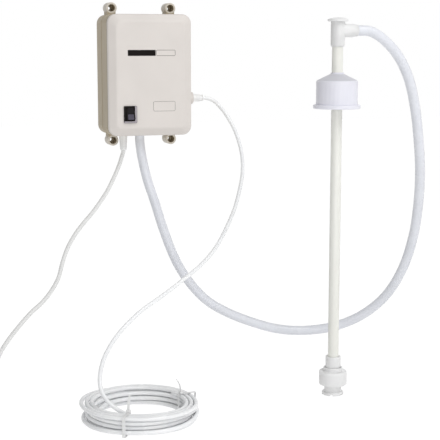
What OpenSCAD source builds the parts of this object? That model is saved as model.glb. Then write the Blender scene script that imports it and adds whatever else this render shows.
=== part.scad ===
// Bottled water pump: a wall case with a diaphragm pump, a bottle wand on a hose,
// a coil of delivery tube and a mains lead. X is right, Y runs into the wall, Z is up.
// The origin is the middle of the four wall holes, on the wall. Depths are measured forward from the wall.

/* [Case] */
// Width of the case
case_w = 142; // [130:1:170]
// Height of the case without its ears
case_h = 200; // [196:1:206]
// Depth of the rear case
case_d = 77; // [70:1:90]
// Corner radius of the case
case_r = 15; // [10:1:18]
// Wall of the case and the cover
wall = 3; // [2:0.5:4]
// Straight side of the front cover
cover_side = 6; // [5:1:14]
// Depth of the sloping border of the cover
bevel_d = 7; // [5:1:10]
// Width of the sloping border of the cover
bevel_w = 13; // [8:1:18]
// Softening where the cover's side meets its sloping border
cover_edge = 2; // [1:0.5:5]
// Softening where the sloping border meets the flat front
cover_crown = 2.5; // [2:0.5:8]
// Running clearance between fitted pieces
fit = 0.1; // [0.05:0.01:0.15]

/* [Wall ears] */
// Half the spacing of the wall holes across
ear_x = 51; // [45:1:54]
// Half the spacing of the wall holes up and down
ear_z = 111; // [109:1:120]
// Radius of an ear
ear_r = 9; // [7.5:0.5:10]
// Width of the root that carries an ear
ear_root = 14; // [10:1:16]
// Thickness of an ear
ear_t = 26; // [10:1:30]
// Radius of the wall screw hole
ear_hole_r = 2.75; // [2:0.25:3.5]
// Radius of the screw head pocket
ear_pocket_r = 6; // [4:0.5:6.5]
// Floor left under the screw head
ear_floor = 6; // [4:1:8]

/* [Case screws] */
// Distance of a case screw from the sides
screw_inset = 16; // [16:0.5:18]
// Radius of a screw column
column_r = 5.5; // [5:0.25:6]
// Radius of a case screw's shank
screw_r = 1.5; // [1.25:0.25:2]
// Radius of a case screw's head
screw_head_r = 3.3; // [2.8:0.1:3.6]
// Length of a case screw's shank
screw_len = 18; // [14:1:20]

/* [Switch] */
// Switch centre, across
switch_x = -36; // [-42:1:-34]
// Switch centre, up from the lower end of the case
switch_rise = 36; // [34:1:60]
// Width of the switch bezel
bezel_w = 22; // [20:0.5:26]
// Height of the switch bezel
bezel_h = 28; // [26:0.5:32]
// How far the bezel stands out of the cover
bezel_t = 2; // [1:0.5:2.5]
// Rim of the bezel around the switch body
bezel_rim = 1.7; // [1:0.1:2.5]
// Depth of the switch body behind the cover's face
switch_d = 24; // [18:1:28]
// Wall of the switch body
switch_wall = 1.5; // [1.2:0.1:2]
// Turn of the rocker either side of its middle
rocker_turn = 12; // [8:1:14]

/* [Pump] */
// Pump axis, across
pump_x = 12; // [10:1:16]
// Pump axis, forward of the wall
pump_d = 48; // [46:1:52]
// Radius of the pump head
head_r = 30; // [29:0.5:31]
// Height of the head cover
head_h = 28; // [26:1:32]
// Thickness of the valve plate
valve_t = 8; // [6:1:10]
// Thickness of the diaphragm
diaphragm_t = 2; // [1.5:0.5:3]
// Height of the drive housing
drive_h = 22; // [22:1:26]
// Radius of the motor can
motor_r = 25; // [24:0.5:27]
// Length of the motor can
motor_l = 68; // [66:1:76]
// Radius of the motor shaft
shaft_r = 3; // [2.5:0.25:3.5]
// Lean of the wobble hub, in degrees
wobble = 3; // [1:0.5:3]
// Radius at which the three diaphragm pads sit
pad_ring_r = 17; // [16:0.5:18]

/* [Ports] */
// Height of the delivery port
outlet_z = -40; // [-44:1:-36]
// Radius of the boss around the delivery port, at the side of the case
boss_r = 13; // [11:0.5:14]
// Radius of that boss at its outer end
boss_tip_r = 9; // [8:0.5:10]
// How far that boss stands out of the side
boss_out = 12; // [10:1:18]
// Radius of the delivery fitting
fitting_r = 5.75; // [5.5:0.25:7]
// Length of the delivery fitting outside the boss
fitting_out = 15; // [13:1:20]
// Suction port from the pump axis
inlet_off = 22; // [21:0.5:22.5]
// Mains gland, across
gland_x = -38; // [-44:1:-34]
// Mains gland and suction hose, forward of the wall
gland_d = 45; // [40:1:50]
// Radius of the mains gland
gland_r = 6.9; // [5.5:0.1:7]
// Length of the mains gland below the case
gland_l = 26; // [20:1:27]

/* [Cords] */
// Radius of the suction hose
hose_r = 8; // [7:0.5:9]
// Radius of the delivery tube
tube_r = 3.175; // [2.5:0.125:3.5]
// Radius of the mains cord
cord_r = 3.5; // [3:0.1:3.8]
// Mean radius of the delivery tube's coil
tube_coil_r = 75; // [70:1:90]
// Turns in one layer of the delivery tube's coil
tube_coil_turns = 2.775; // [2:0.025:3.5]
// Mean radius of the mains cord's coil
cord_coil_r = 42; // [40:1:50]
// Turns in one layer of the mains cord's coil
cord_coil_turns = 2.15; // [1.5:0.05:2.5]
// Gap between the turns of the mains coil
cord_gap = 1.1; // [0.6:0.1:2]
// Gap between the turns of the delivery coil
tube_gap = 0.8; // [0.6:0.1:2]
// How far the loops of the delivery coil wander from round
tube_wander = 8; // [0:1:9]
// Thickness of a tie strap
tie_t = 0.8; // [0.6:0.1:1]
// Width of a tie strap
tie_w = 5; // [3:0.5:8]

/* [Wand] */
// Radius of the dip tube
dip_r = 8.5; // [8.25:0.25:9.5]
// Wall of the dip tube
dip_wall = 2; // [1.5:0.25:2.5]
// How far the dip tube goes up into the wand head
dip_seat = 18; // [8:1:21]
// Height of the wand head's lower end above the floor
head_base = 547; // [545:1:552]
// Radius of the wand head
wand_head_r = 10.75; // [10.5:0.25:13]
// Height of the wand head
wand_head_h = 38; // [36:1:44]
// Radius of the side spigot
spigot_r = 10.25; // [10:0.25:12]
// Reach of the side spigot from the wand's axis
spigot_out = 32; // [28:1:38]
// Radius of the head plug's flange
plug_r = 15.8; // [14:0.1:18]
// Height of the neck cap's rim above the floor
cap_base = 453; // [430:1:460]
// Outer radius of the neck cap
cap_r = 32; // [31:0.5:36]
// Bore radius of the neck cap
cap_bore_r = 28; // [26:0.5:29]
// Radius of the neck cap's rim
cap_rim_r = 36.5; // [36:0.5:40]
// Height of the neck cap's rim
cap_rim_h = 6; // [4:0.5:8]
// Height of the neck cap's straight side
cap_side_h = 37; // [30:1:40]
// Height of the neck cap's cone
cap_cone_h = 12; // [9:0.5:14]
// Radius of the float
float_r = 22; // [20:0.5:24]
// Height of the float drum
float_h = 22; // [20:1:26]
// Rise of the float
float_rise = 10; // [6:1:10]
// Radius of the foot flange
foot_r = 17; // [15:0.5:20]
// Height of the foot below the float
foot_h = 16; // [16:1:20]
// Lift of the foot valve
valve_lift = 3; // [2:0.5:3]

/* [Hidden] */
$fn = 48;

// Overlap between shapes that are one piece, and the reach of a cut past a face
bite = 1;

// Case
cover_d = cover_side + bevel_d;
switch_z = switch_rise - case_h / 2;
dip_top = head_base + dip_seat;
front_d = case_d + cover_d;
column_x = case_w / 2 - screw_inset;
column_z = case_h / 2 - screw_inset;
column_top = case_d - 8;
screw_seat = column_top - 6;
screw_head_h = 2.4;
lip_gap = 0.3;
lip_t = 1.6;
lip_h = 3;
seal_w = 1.2;
seal_t = 1.2;
post_r = 4.5;

// Switch
cut_w = bezel_w - 2 * bezel_rim;
cut_h = bezel_h - 2 * bezel_rim;
body_w = cut_w - 4 * fit;
body_h = cut_h - 4 * fit;
well_w = body_w - 2 * switch_wall;
well_h = body_h - 2 * switch_wall;
rocker_gap = 0.35;
rocker_w = well_w - 2 * rocker_gap;
rocker_r = well_h / 2 - rocker_gap;
pivot_in = 1.5;
pivot_d = front_d - pivot_in;
pivot_r = 1.4;
rocker_low = 4;
rocker_end = 6.2;
rocker_valley = 4.4;
well_floor = rocker_low + rocker_r * sin(rocker_turn) + 1;
terminal_w = 4.8;
terminal_t = 0.8;
terminal_l = 9;

// Pump, from the head cover up
head_z = outlet_z - 18;
valve_z = head_z + head_h;
diaphragm_z = valve_z + valve_t;
drive_z = diaphragm_z + diaphragm_t;
motor_z = drive_z + drive_h;
head_wall = 4;
inner_r = head_r - head_wall;
out_chamber_r = 13;
in_chamber_r = 16;
chamber_floor = 6;
port_r = 6;
port_bore = 3.5;
port_out = 8;
port_end = pump_x + head_r + port_out;
pad_r = 6;
pad_t = 2.5;
chamber_r = 8;
chamber_d = 3;
inlet_hole_r = 2;
outlet_hole_r = 1.5;
inlet_ring_r = pad_ring_r + 3.5;
outlet_ring_r = pad_ring_r - 6;
inlet_flap_r = 3.6;
flap_t = 1;
head_screw_ring = head_r - 2.2;
head_screw_r = 1.1;
head_screw_head_r = 2;
drive_roof = 4;
plate_gap = 0.3;
wobble_drop = (pad_ring_r + pad_r) * tan(wobble) + plate_gap;
plate_z = drive_z + pad_t + wobble_drop;
plate_t = 5;
arm_w = 1.4 * pad_r;
hub_r = 8;
hub_z = plate_z + plate_t / 2;
hub_h = 8;
plate_hub_r = 11.5;
bearing_r = 8;
bearing_h = drive_roof;
can_t = 2;
can_floor = 3;
magnet_t = 4;
air_gap = 0.8;
armature_r = motor_r - can_t - magnet_t - air_gap;
armature_z = motor_z + 14;
armature_h = 34;
commutator_r = 8;
commutator_h = 10;
commutator_z = armature_z + armature_h + 4;
bell_z = motor_z + motor_l;
bell_h = 8;
bell_lip = 4;
shaft_top = bell_z + bell_h - 1;
shaft_bottom = hub_z - hub_h / 2;
brush_w = 5;
brush_h = 6;

// Pump mounting
foot_tall = 6;
foot_outer_r = 6.5;
post_inner_r = 3.4;
plate_d = wall + foot_tall;
bracket_t = 2.5;
bracket_w = 64;
bracket_h = 54;
bracket_r = 6;
bracket_z = motor_z + motor_l / 2;
saddle_w = 40;
saddle_h = 36;
strap_t = 1.2;
strap_h = 14;
foot_screw_r = 1.25;
foot_dx = bracket_w / 2 - 7;
foot_dz = bracket_h / 2 - 7;

// Pressure switch
press_r = 11;
press_h = 18;
press_off = 10;

// Suction inside the case
inlet_x = pump_x - inlet_off;
floor_in = -case_h / 2 + wall;
spigot_flange_r = 9.6;
spigot_flange_t = 3;
hose_in = 5;
spigot_z = floor_in + hose_in;
barb_r = 5;
barb_bore = 3.6;
barb_l = 8;
sleeve_t = 2;
inlet_port_l = 8;
grommet_lip = 2;
grommet_t = 1.4;
grommet_wall = 1.6;

// Delivery inside the case
side_x = case_w / 2;
boss_end = side_x + boss_out;
fitting_end = boss_end + fitting_out;
fitting_flange_r = fitting_r + 0.9;
fitting_flange_t = 2;
fitting_in = 10;
nut_t = 5;
tube_stop = boss_end + 1;
seal_x = tube_stop + 3;
oring_t = 2.5;
collet_bore = tube_r + 0.12;
socket_r = fitting_r - 1;
collet_r = socket_r - fit;
collet_in = 6;
collet_flange_r = fitting_r - 0.4;
collet_flange_t = 2;
collet_travel = 1.5;
collet_gap = collet_travel + 0.3;

// Mains gland
gland_flange = 2;
gland_tip = 1.8;
cord_in = floor_in + gland_flange + 1;

// Board
board_x = -42;
board_z = 38;
board_w = 42;
board_h = 76;
board_t = 1.6;
standoff_h = 8;
standoff_r = 3;
board_d = wall + standoff_h;
board_dx = board_w / 2 - 4;
board_dz = board_h / 2 - 4;
board_face = board_d + board_t;
coil_w = 30;
coil_h = 26;
coil_d = 24;
relay_w = 15;
relay_h = 19;
relay_d = 15;
capacitor_r = 5;
capacitor_step = 13;
capacitor_z = board_z - board_h / 20;
block_w = 30;
block_h = 10;
block_d = 12;
block_z = board_z - board_h / 2 + block_h;
lead_r = 1;
terminal_end = -(front_d - switch_d - terminal_l);
end_gap = 0.2;

// Floor and wand
floor_z = -500;
wand_x = 235;
wand_d = 315;
stem_r = dip_r - 0.5;
stem_bore = 4.8;
coupling_r = dip_r + 3.5;
float_collar_r = coupling_r + 3;
float_collar_h = 6;
float_pocket_r = coupling_r + 0.6;
float_base = foot_h;
float_top = float_base + float_h + float_collar_h;
coupling_base = float_top - 0.5;
coupling_h = 18;
float_pocket_z = coupling_base - float_rise - 1;
dip_base = coupling_base + 7;
magnet_in = stem_r + 2;
magnet_out = magnet_in + 4;
magnet_h = 7;
magnet_z = float_base + 4;
neck_r = 13.5;
foot_flange_h = 5;
foot_seat_h = 7;
foot_chamber_r = stem_r - 1.5;
stem_mouth_r = stem_bore + 1.2;
stem_mouth_h = 1.5;
foot_inlet_r = 4.5;
stem_in = 3;
stem_base = foot_h - stem_in;
valve_body_h = stem_base - foot_seat_h - valve_lift;
foot_slot_w = 4;
foot_slot_h = 2.5;
reed_r = 1.2;
reed_h = 18;
reed_ring = (stem_r + stem_bore) / 2;
reed_z = magnet_z + magnet_h;
gasket_t = 2.5;
cap_top_t = 3;
cap_neck_r = dip_r + 1.6;
cap_top = cap_rim_h + cap_side_h + cap_cone_h;
cap_seat = cap_rim_h + cap_side_h - cap_top_t - gasket_t;
spigot_z_up = head_base + 24.5;
hose_socket = 14;
spigot_taper = 9;
spigot_lip = 0.9;
plug_flange_h = 4;
plug_dome = 2.5;
plug_shank = 8;

// Cord routes: their ends follow the fittings, the points between are chosen along the lie of each cord
case_low = -case_h / 2;
hose_route = [
    [inlet_x, -pump_d, spigot_z], [inlet_x, -pump_d, case_low - 12],
    [-8, -48, -130], [-5, -48, -146], [2, -50, -178],
    [12, -56, -212], [25, -68, -262], [42, -82, -313], [62, -96, -350], [90, -109, -382],
    [124, -121, -403], [164, -131, -420], [210, -138, -434], [258, -146, -438], [304, -160, -431],
    [344, -180, -411], [376, -207, -374], [394, -235, -322], [401, -258, -262], [400, -275, -202],
    [395, -287, -150], [386, -296, -98], [375, -303, -48], [360, -308, -2], [338, -312, 34],
    [310, -314, 60], [289, -315, 70.5], [wand_x + spigot_out + bite, -wand_d, floor_z + spigot_z_up],
    [wand_x + spigot_out - hose_socket, -wand_d, floor_z + spigot_z_up],
];
tube_route = [
    [tube_stop + bite / 2, -pump_d, outlet_z], [fitting_end - collet_in / 2, -pump_d, outlet_z],
    [fitting_end + collet_gap + collet_flange_t + 3, -pump_d, outlet_z],
    [120, -51, -45], [131, -59, -57], [140, -68, -72],
    [148, -80, -92], [152, -92, -112], [153, -106, -134], [149, -122, -160], [138, -140, -188],
    [122, -160, -218], [101, -181, -246], [75, -204, -274], [45, -226, -295], [14, -246, -310],
    [-16, -264, -324], [-45, -281, -336], [-71, -295, -347], [-93, -307, -360], [-111, -317, -373],
    [-126, -325, -388], [-138, -333, -404], [-146, -342, -421], [-150, -353, -439], [-147, -366, -454],
    [-138, -378, -465], [-125, -387, -474], [-110, -394, -483], [-92, -399.5, -491],
];
cord_route = [
    [gland_x, -gland_d, cord_in], [gland_x, -gland_d, case_low - gland_l / 2],
    [gland_x, -gland_d, case_low - gland_l - 2],
    [-41, -45, -138], [-46, -46, -152], [-55, -48, -171],
    [-67, -50, -193], [-80, -53, -211], [-96, -57, -230], [-113, -62, -247], [-130, -67, -267],
    [-143, -72, -288], [-152, -78, -309], [-160, -84, -332], [-173, -91, -351], [-190, -99, -368],
    [-210, -107, -382], [-230, -118, -399], [-248, -128, -416], [-263, -138, -433], [-275, -149, -453],
    [-282, -161, -472], [-285, -176, -487],
];

// Leads inside the case, in the same way
block_low = block_z - block_h / 2 - end_gap;
block_mid = -board_face - block_d / 2;
mains_wire = [
    [gland_x, -gland_d, cord_in + end_gap], [gland_x, -gland_d, -80], [-49, -38, -52], [-49, -30, -24],
    [-49, block_mid, block_low - 12], [-49, block_mid, block_low],
];
switch_wire = [
    [switch_x, terminal_end + end_gap, switch_z], [switch_x, terminal_end + 8, switch_z],
    [-34, -38, -46], [-34, -30, -22], [-34, block_mid, block_low - 12], [-34, block_mid, block_low],
];
motor_wire = [
    [pump_x, -pump_d, bell_z + bell_h + end_gap], [pump_x, -pump_d, bell_z + bell_h + 4], [-2, -40, 87],
    [-16, -26, 83], [-36, -board_face - 6, board_z + board_h / 2 - 2],
    [-36, -board_face - end_gap, board_z + board_h / 2 - 3],
];

// Coils on the floor
strap_room = 0.3;
tube_pitch = 2 * tube_r + tube_gap;
cord_pitch = 2 * cord_r + cord_gap;
tube_coil_at = [-87, -345, floor_z + tie_t + strap_room + tube_r];
cord_coil_at = [-335, -212, floor_z + tie_t + strap_room + cord_r];
tube_coil_start = 352;
cord_coil_start = 0;
loop_rings = 24;
tube_entry = 0.17;
entry_curve = 180;
tube_layers = 4;
cord_layers = 2;
tube_coil_in = tube_coil_r - tube_coil_turns * tube_pitch / 2;
tube_coil_out = tube_coil_r + tube_coil_turns * tube_pitch / 2;
cord_coil_in = cord_coil_r - cord_coil_turns * cord_pitch / 2;
cord_coil_out = cord_coil_r + cord_coil_turns * cord_pitch / 2;
tube_tie_angles = [240, 8];
cord_tie_angle = 110;
wander_start = 25;
wander_turn = 160;
// Both coils wind up from the floor
tube_wound = coil_points(
    tube_coil_turns, tube_layers, tube_coil_in, tube_coil_out, tube_coil_start, 1, tube_pitch, tube_entry
);
tube_loops = placed(wandered(tube_wound, tube_wander, tube_pitch), tube_coil_at);
cord_wound = coil_points(
    cord_coil_turns, cord_layers, cord_coil_out, cord_coil_in, cord_coil_start, -1, cord_pitch, 0
);
plug_run = 16;
cord_loops = placed(led(cord_wound, 2 * cord_r, plug_run), cord_coil_at);

// Mains plug, at the end of its cord
plug_at = cord_loops[len(cord_loops) - 1];
plug_way = plug_at - cord_loops[len(cord_loops) - 2];
plug_turn = atan2(plug_way[1], plug_way[0]);
plug_neck_l = 16;
plug_l = 24;
plug_w = 28;
plug_h = 2 * (plug_at[2] - floor_z);
pin_l = 17;
pin_gap = 12.7;

// Point t, in turns, along a coil of stacked spirals; way is 1 or -1 for its sense, rise is a layer's
// height, and before t = 0 the run curves in from inside the first turn
function spiral_share(t, n) = let (k = floor(t / n), s = t / n - k) k % 2 == 0 ? s : 1 - s;
function climb(t, n, layers) = let (k = round(t / n), u = (t - k * n) * 2)
    k < 1 || k > layers - 1 ? min(max(floor(t / n), 0), layers - 1)
    : k - 0.5 + (abs(u) < 0.5 ? sin(u * 180) / 2 : sign(u) / 2);
function coil_point(t, n, layers, from_r, to_r, start, way, rise) =
    let (share = t < 0 ? t / n : spiral_share(t, n), inward = t < 0 ? entry_curve * t * t : 0)
    let (r = from_r + (to_r - from_r) * share - inward, a = start + way * 360 * t)
    [r * cos(a), r * sin(a), rise * climb(t, n, layers)];
function coil_points(n, layers, from_r, to_r, start, way, rise, entry) =
    let (total = n * layers + entry, steps = ceil(total * loop_rings))
    [for (i = [0:steps]) coil_point(total * i / steps - entry, n, layers, from_r, to_r, start, way, rise)];
// Loops that wander in and out between the ties, each layer by its own share of the most
function slack(a) =
    let (first = tube_tie_angles[0] - tube_tie_angles[1], b = (a - tube_tie_angles[1] + 720) % 360)
    pow(sin(180 * (b < first ? b / first : (b - first) / (360 - first))), 2);
function wandered(p, most, rise) = [
    for (q = p) let (flat = [q[0], q[1], 0], share = slack(atan2(q[1], q[0])))
        q + most * share * sin(wander_turn * q[2] / rise + wander_start) * unit(flat)
];
// Straight leads before and after a run of points
function led(p, before, after) = let (n = len(p) - 1)
    concat([p[0] - before * unit(p[1] - p[0])], p, [p[n] + after * unit(p[n] - p[n - 1])]);
function placed(p, at) = [for (q = p) q + at];
// A route that ends square to the first ring of a coil
function joined(route, loops, r) = let (d = unit(loops[1] - loops[0]))
    concat(route, [loops[0] - 2 * r * d, loops[0]]);
function unit(v) = v / norm(v);
// Steps round the corner b of the path a, b, c
function eased(a, b, c) = [
    for (i = [0:4]) let (t = i / 4) (1 - t) * (1 - t) * a + 2 * t * (1 - t) * b + t * t * c
];
function heading(p, i) = unit(p[min(i + 1, len(p) - 1)] - p[max(i - 1, 0)]);
function square_to(v, t) = unit(v - (v * t) * t);
// Directions across the run, carried along it without twist
function across(p) = [
    for (i = 0, v = square_to([0.3, 0.2, 0.9], heading(p, 0)); i < len(p);
         i = i + 1, v = i < len(p) ? square_to(v, heading(p, i)) : v) v
];
// Least distance between parts of a run that are more than skip points apart, less the tube's width
function least_gap(p, r, skip) = min([
    for (i = [0:len(p) - 1 - skip]) min([for (j = [i + skip:len(p) - 1]) norm(p[i] - p[j])])
]) - 2 * r;

// Sweep a round tube of the given sides along points
module swept(p, r, sides) {
    v = across(p);
    n = len(p);
    points = [
        for (i = [0:n - 1], k = [0:sides - 1])
            let (t = heading(p, i), a = 360 * k / sides)
            p[i] + r * (cos(a) * v[i] + sin(a) * cross(t, v[i]))
    ];
    sides_faces = [
        for (i = [0:n - 2], k = [0:sides - 1], half = [0, 1])
            let (a = i * sides + k, b = i * sides + (k + 1) % sides)
            half == 0 ? [a, a + sides, b] : [b, a + sides, b + sides]
    ];
    first = [for (k = [1:sides - 2]) [0, k, k + 1]];
    last = [for (k = [1:sides - 2]) (n - 1) * sides * [1, 1, 1] + [0, k + 1, k]];
    polyhedron(points, concat(sides_faces, first, last), convexity = 8);
}

// An outline in X and Z at a place on the wall, raised from one depth to another
module forward(x, z, from, to)
    translate([x, -from, z]) rotate([90, 0, 0]) linear_extrude(to - from) children();
// An outline raised along X, at a depth and height; its own axes become Y and Z
module sideways(d, z, from, to)
    translate([from, -d, z]) rotate([90, 0, 90]) linear_extrude(to - from) children();
// An outline in X and Y raised along Z at a depth
module upright(x, d, from, to) translate([x, -d, from]) linear_extrude(to - from) children();
// The wand's own place: its axis on the floor
module on_wand() translate([wand_x, -wand_d, floor_z]) children();
module round_rect(w, h, r) {
    square([w - 2 * r, h], center = true);
    square([w, h - 2 * r], center = true);
    for (x = [-1, 1], y = [-1, 1]) translate([x * (w / 2 - r), y * (h / 2 - r)]) circle(r);
}
// The outline of the case drawn in from its edge
module case_outline(inset) round_rect(case_w - 2 * inset, case_h - 2 * inset, max(case_r - inset, 2));
module ring(outer, inner) difference() {
    circle(outer);
    circle(inner);
}
// Four places at half spacings dx and dz
module corners(dx, dz) for (x = [-1, 1], z = [-1, 1]) translate([x * dx, 0, z * dz]) children();
// Three places around the pump axis at a radius
module threes(r) for (k = [0:2]) rotate([0, 0, 120 * k]) translate([r, 0, 0]) children();
// Six places between them, for the head's screws
module sixes(r) for (k = [0:5]) rotate([0, 0, 30 + 60 * k]) translate([r, 0, 0]) children();
module on_pump() translate([pump_x, -pump_d, 0]) children();
module disc(z0, z1, r) translate([0, 0, z0]) cylinder(h = z1 - z0, r = r);

module ear(x, z) {
    reach = abs(ear_z - case_h / 2) + case_r;
    forward(x, z, 0, ear_t) {
        circle(ear_r);
        translate([-ear_root / 2, z > 0 ? -reach : 0]) square([ear_root, reach]);
    }
}

module rear_case() color("#cfc8bd") difference() {
    union() {
        difference() {
            union() {
                forward(0, 0, 0, case_d) case_outline(0);
                for (x = [-1, 1], z = [-1, 1]) ear(x * ear_x, z * ear_z);
            }
            forward(0, 0, wall, case_d + bite) case_outline(wall);
        }
        corners(column_x, column_z) forward(0, 0, wall / 2, column_top) circle(column_r);
        translate([side_x - wall / 2, -pump_d, outlet_z]) rotate([0, 90, 0])
            cylinder(h = boss_out + wall / 2, r1 = boss_r, r2 = boss_tip_r);
        translate([pump_x, 0, bracket_z]) corners(foot_dx, foot_dz)
            forward(0, 0, wall / 2, plate_d - fit) circle(post_inner_r);
        translate([board_x, 0, board_z]) corners(board_dx, board_dz) {
            forward(0, 0, wall / 2, board_d) circle(standoff_r);
            forward(0, 0, wall / 2, board_face + bite) circle(screw_r - fit);
        }
    }
    corners(ear_x, ear_z) {
        forward(0, 0, -bite, ear_t + bite) circle(ear_hole_r);
        forward(0, 0, ear_floor, ear_t + bite) circle(ear_pocket_r);
    }
    corners(column_x, column_z) {
        forward(0, 0, -bite, screw_seat) circle(screw_head_r + 3 * fit);
        forward(0, 0, -bite, case_d) circle(screw_r + 2 * fit);
    }
    translate([pump_x, 0, bracket_z]) corners(foot_dx, foot_dz)
        forward(0, 0, wall, plate_d) circle(foot_screw_r + fit);
    sideways(pump_d, outlet_z, side_x - 2 * wall, boss_end + bite) circle(fitting_r + fit);
    upright(gland_x, gland_d, -case_h / 2 - bite, floor_in + bite) circle(gland_r + fit);
    upright(inlet_x, pump_d, -case_h / 2 - bite, floor_in + bite) circle(hose_r + grommet_wall + fit);
}

// Steps of the cover's border: drawn in from the edge, and forward from the seam
border_way = unit([bevel_w, bevel_d]);
border_low = [0, cover_side];
border_high = [bevel_w, cover_d];
border = concat(
    eased(border_low - [0, cover_edge], border_low, border_low + cover_edge * border_way),
    eased(border_high - cover_crown * border_way, border_high, border_high + [cover_crown, 0])
);
module border_outline(inset)
    round_rect(case_w - 2 * inset, case_h - 2 * inset, max(case_r - inset / 2, 2), $fn = 32);
module front_cover() color("#dedad4") difference() {
    union() {
        difference() {
            hull() for (b = border) forward(0, 0, case_d, case_d + b[1]) border_outline(b[0]);
            forward(0, 0, case_d - bite, case_d + cover_side - wall / 2) case_outline(wall);
            forward(0, 0, case_d, front_d - wall) case_outline(bevel_w);
        }
        difference() {
            forward(0, 0, case_d - lip_h, case_d + wall) case_outline(wall + lip_gap);
            forward(0, 0, case_d - lip_h - bite, case_d + wall + bite) case_outline(wall + lip_gap + lip_t);
        }
        difference() {
            forward(0, 0, case_d, case_d + wall) case_outline(wall - bite);
            forward(0, 0, case_d - bite, case_d + wall + bite) case_outline(wall + lip_gap + lip_t);
        }
        corners(column_x, column_z) forward(0, 0, column_top, front_d - wall / 2) circle(post_r);
    }
    forward(0, 0, case_d - bite, case_d + seal_t + fit) difference() {
        case_outline((wall - seal_w) / 2 - fit);
        case_outline((wall + seal_w) / 2 + fit);
    }
    corners(column_x, column_z) forward(0, 0, column_top - bite, screw_seat + screw_len + bite)
        circle(screw_r + fit / 2);
    forward(switch_x, switch_z, case_d, front_d + bite) square([cut_w, cut_h], center = true);
}

module case_seal() color("#4a4a4c") forward(0, 0, case_d, case_d + seal_t) difference() {
    case_outline((wall - seal_w) / 2);
    case_outline((wall + seal_w) / 2);
}

module case_screws() color("#9a9da0") corners(column_x, column_z) difference() {
    union() {
        forward(0, 0, screw_seat - screw_head_h, screw_seat) circle(screw_head_r);
        forward(0, 0, screw_seat - bite, screw_seat + screw_len) circle(screw_r);
    }
    forward(0, 0, screw_seat - screw_head_h - bite, screw_seat - screw_head_h / 2) {
        square([4 * screw_r, screw_r / 2], center = true);
        square([screw_r / 2, 4 * screw_r], center = true);
    }
}

module switch_housing() color("#1d1a19") difference() {
    union() {
        forward(switch_x, switch_z, front_d, front_d + bezel_t) round_rect(bezel_w, bezel_h, 1.5);
        forward(switch_x, switch_z, front_d - switch_d, front_d + bite)
            square([body_w, body_h], center = true);
    }
    forward(switch_x, switch_z, pivot_d - well_floor, front_d + bezel_t + bite)
        square([well_w, well_h], center = true);
    sideways(pivot_d, switch_z, switch_x - body_w / 2 - bite, switch_x + body_w / 2 + bite)
        circle(pivot_r + fit / 2);
}

// The rocker rests with its upper end pressed
module switch_rocker() color("#2b2930")
translate([switch_x, -pivot_d, switch_z]) rotate([-rocker_turn, 0, 0]) {
    sideways(0, 0, -rocker_w / 2, rocker_w / 2) intersection() {
        circle(rocker_r);
        polygon([
            [rocker_low, -rocker_r], [rocker_low, rocker_r],
            [-rocker_end, rocker_r], [-rocker_valley, 0], [-rocker_end, -rocker_r],
        ]);
    }
    sideways(0, 0, -body_w / 2 + fit, body_w / 2 - fit) circle(pivot_r);
}

module switch_terminals() color("#c9b37a") for (k = [-1, 0, 1])
    forward(switch_x, switch_z + k * body_h / 3.4, front_d - switch_d - terminal_l, front_d - switch_d)
        square([terminal_w, terminal_t], center = true);

// Plate on rubber feet with a ring that holds the motor
module pump_bracket() color("#8d9194") difference() {
    union() {
        forward(pump_x, bracket_z, plate_d, plate_d + bracket_t)
            round_rect(bracket_w, bracket_h, bracket_r);
        forward(pump_x, bracket_z, plate_d + bracket_t / 2, pump_d)
            square([saddle_w, saddle_h], center = true);
        on_pump() disc(bracket_z - strap_h / 2, bracket_z + strap_h / 2, motor_r + fit + 2 * strap_t);
    }
    on_pump() disc(motor_z - bite, bell_z + bite, motor_r + fit);
    translate([pump_x, 0, bracket_z]) corners(foot_dx, foot_dz)
        forward(0, 0, plate_d - bite, plate_d + bracket_t + bite) circle(foot_screw_r + 2 * fit);
}

module pump_feet() color("#2e2e30") translate([pump_x, 0, bracket_z]) corners(foot_dx, foot_dz)
    forward(0, 0, wall, plate_d) ring(foot_outer_r, post_inner_r + fit);

module foot_screws() color("#a5a8aa") translate([pump_x, 0, bracket_z]) corners(foot_dx, foot_dz) {
    forward(0, 0, wall + bite, plate_d + bracket_t + bite) circle(foot_screw_r);
    forward(0, 0, plate_d + bracket_t, plate_d + bracket_t + 2 * foot_screw_r) circle(2.6 * foot_screw_r);
}

module motor_can() color("#7f8488") on_pump() difference() {
    disc(motor_z, bell_z, motor_r);
    disc(motor_z + can_floor, bell_z + bite, motor_r - can_t);
    disc(motor_z - bite, bell_z, bearing_r + fit);
}

module motor_magnets() color("#3c3a3a") on_pump()
translate([0, 0, armature_z]) linear_extrude(armature_h) difference() {
    ring(motor_r - can_t - fit, motor_r - can_t - magnet_t);
    square([2 * motor_r, motor_r / 2], center = true);
}

module motor_end_bell() color("#2a2c2e") on_pump() difference() {
    union() {
        disc(bell_z, bell_z + bell_h, motor_r);
        disc(bell_z - bell_lip, bell_z + bite, motor_r - can_t - fit);
    }
    disc(bell_z - bell_lip - bite, bell_z + bell_h / 2, motor_r - 2 * can_t);
    disc(bell_z - bite, shaft_top + fit, shaft_r + fit / 2);
}

module motor_brushes() color("#4b4d50") on_pump() for (s = [0, 180]) rotate([0, 0, s])
    translate([commutator_r + fit, -brush_w / 2, commutator_z + (commutator_h - brush_h) / 2])
        cube([motor_r - can_t - commutator_r - 4 * fit, brush_w, brush_h]);

// Bush that carries the shaft where it leaves the motor
module front_bearing() color("#b08d57") on_pump() difference() {
    disc(drive_z + drive_h - bearing_h, motor_z + can_floor, bearing_r);
    disc(drive_z, motor_z + can_floor + bite, shaft_r + fit / 2);
}

module motor_shaft() color("#c2c5c8") on_pump() disc(shaft_bottom, shaft_top, shaft_r);

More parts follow.
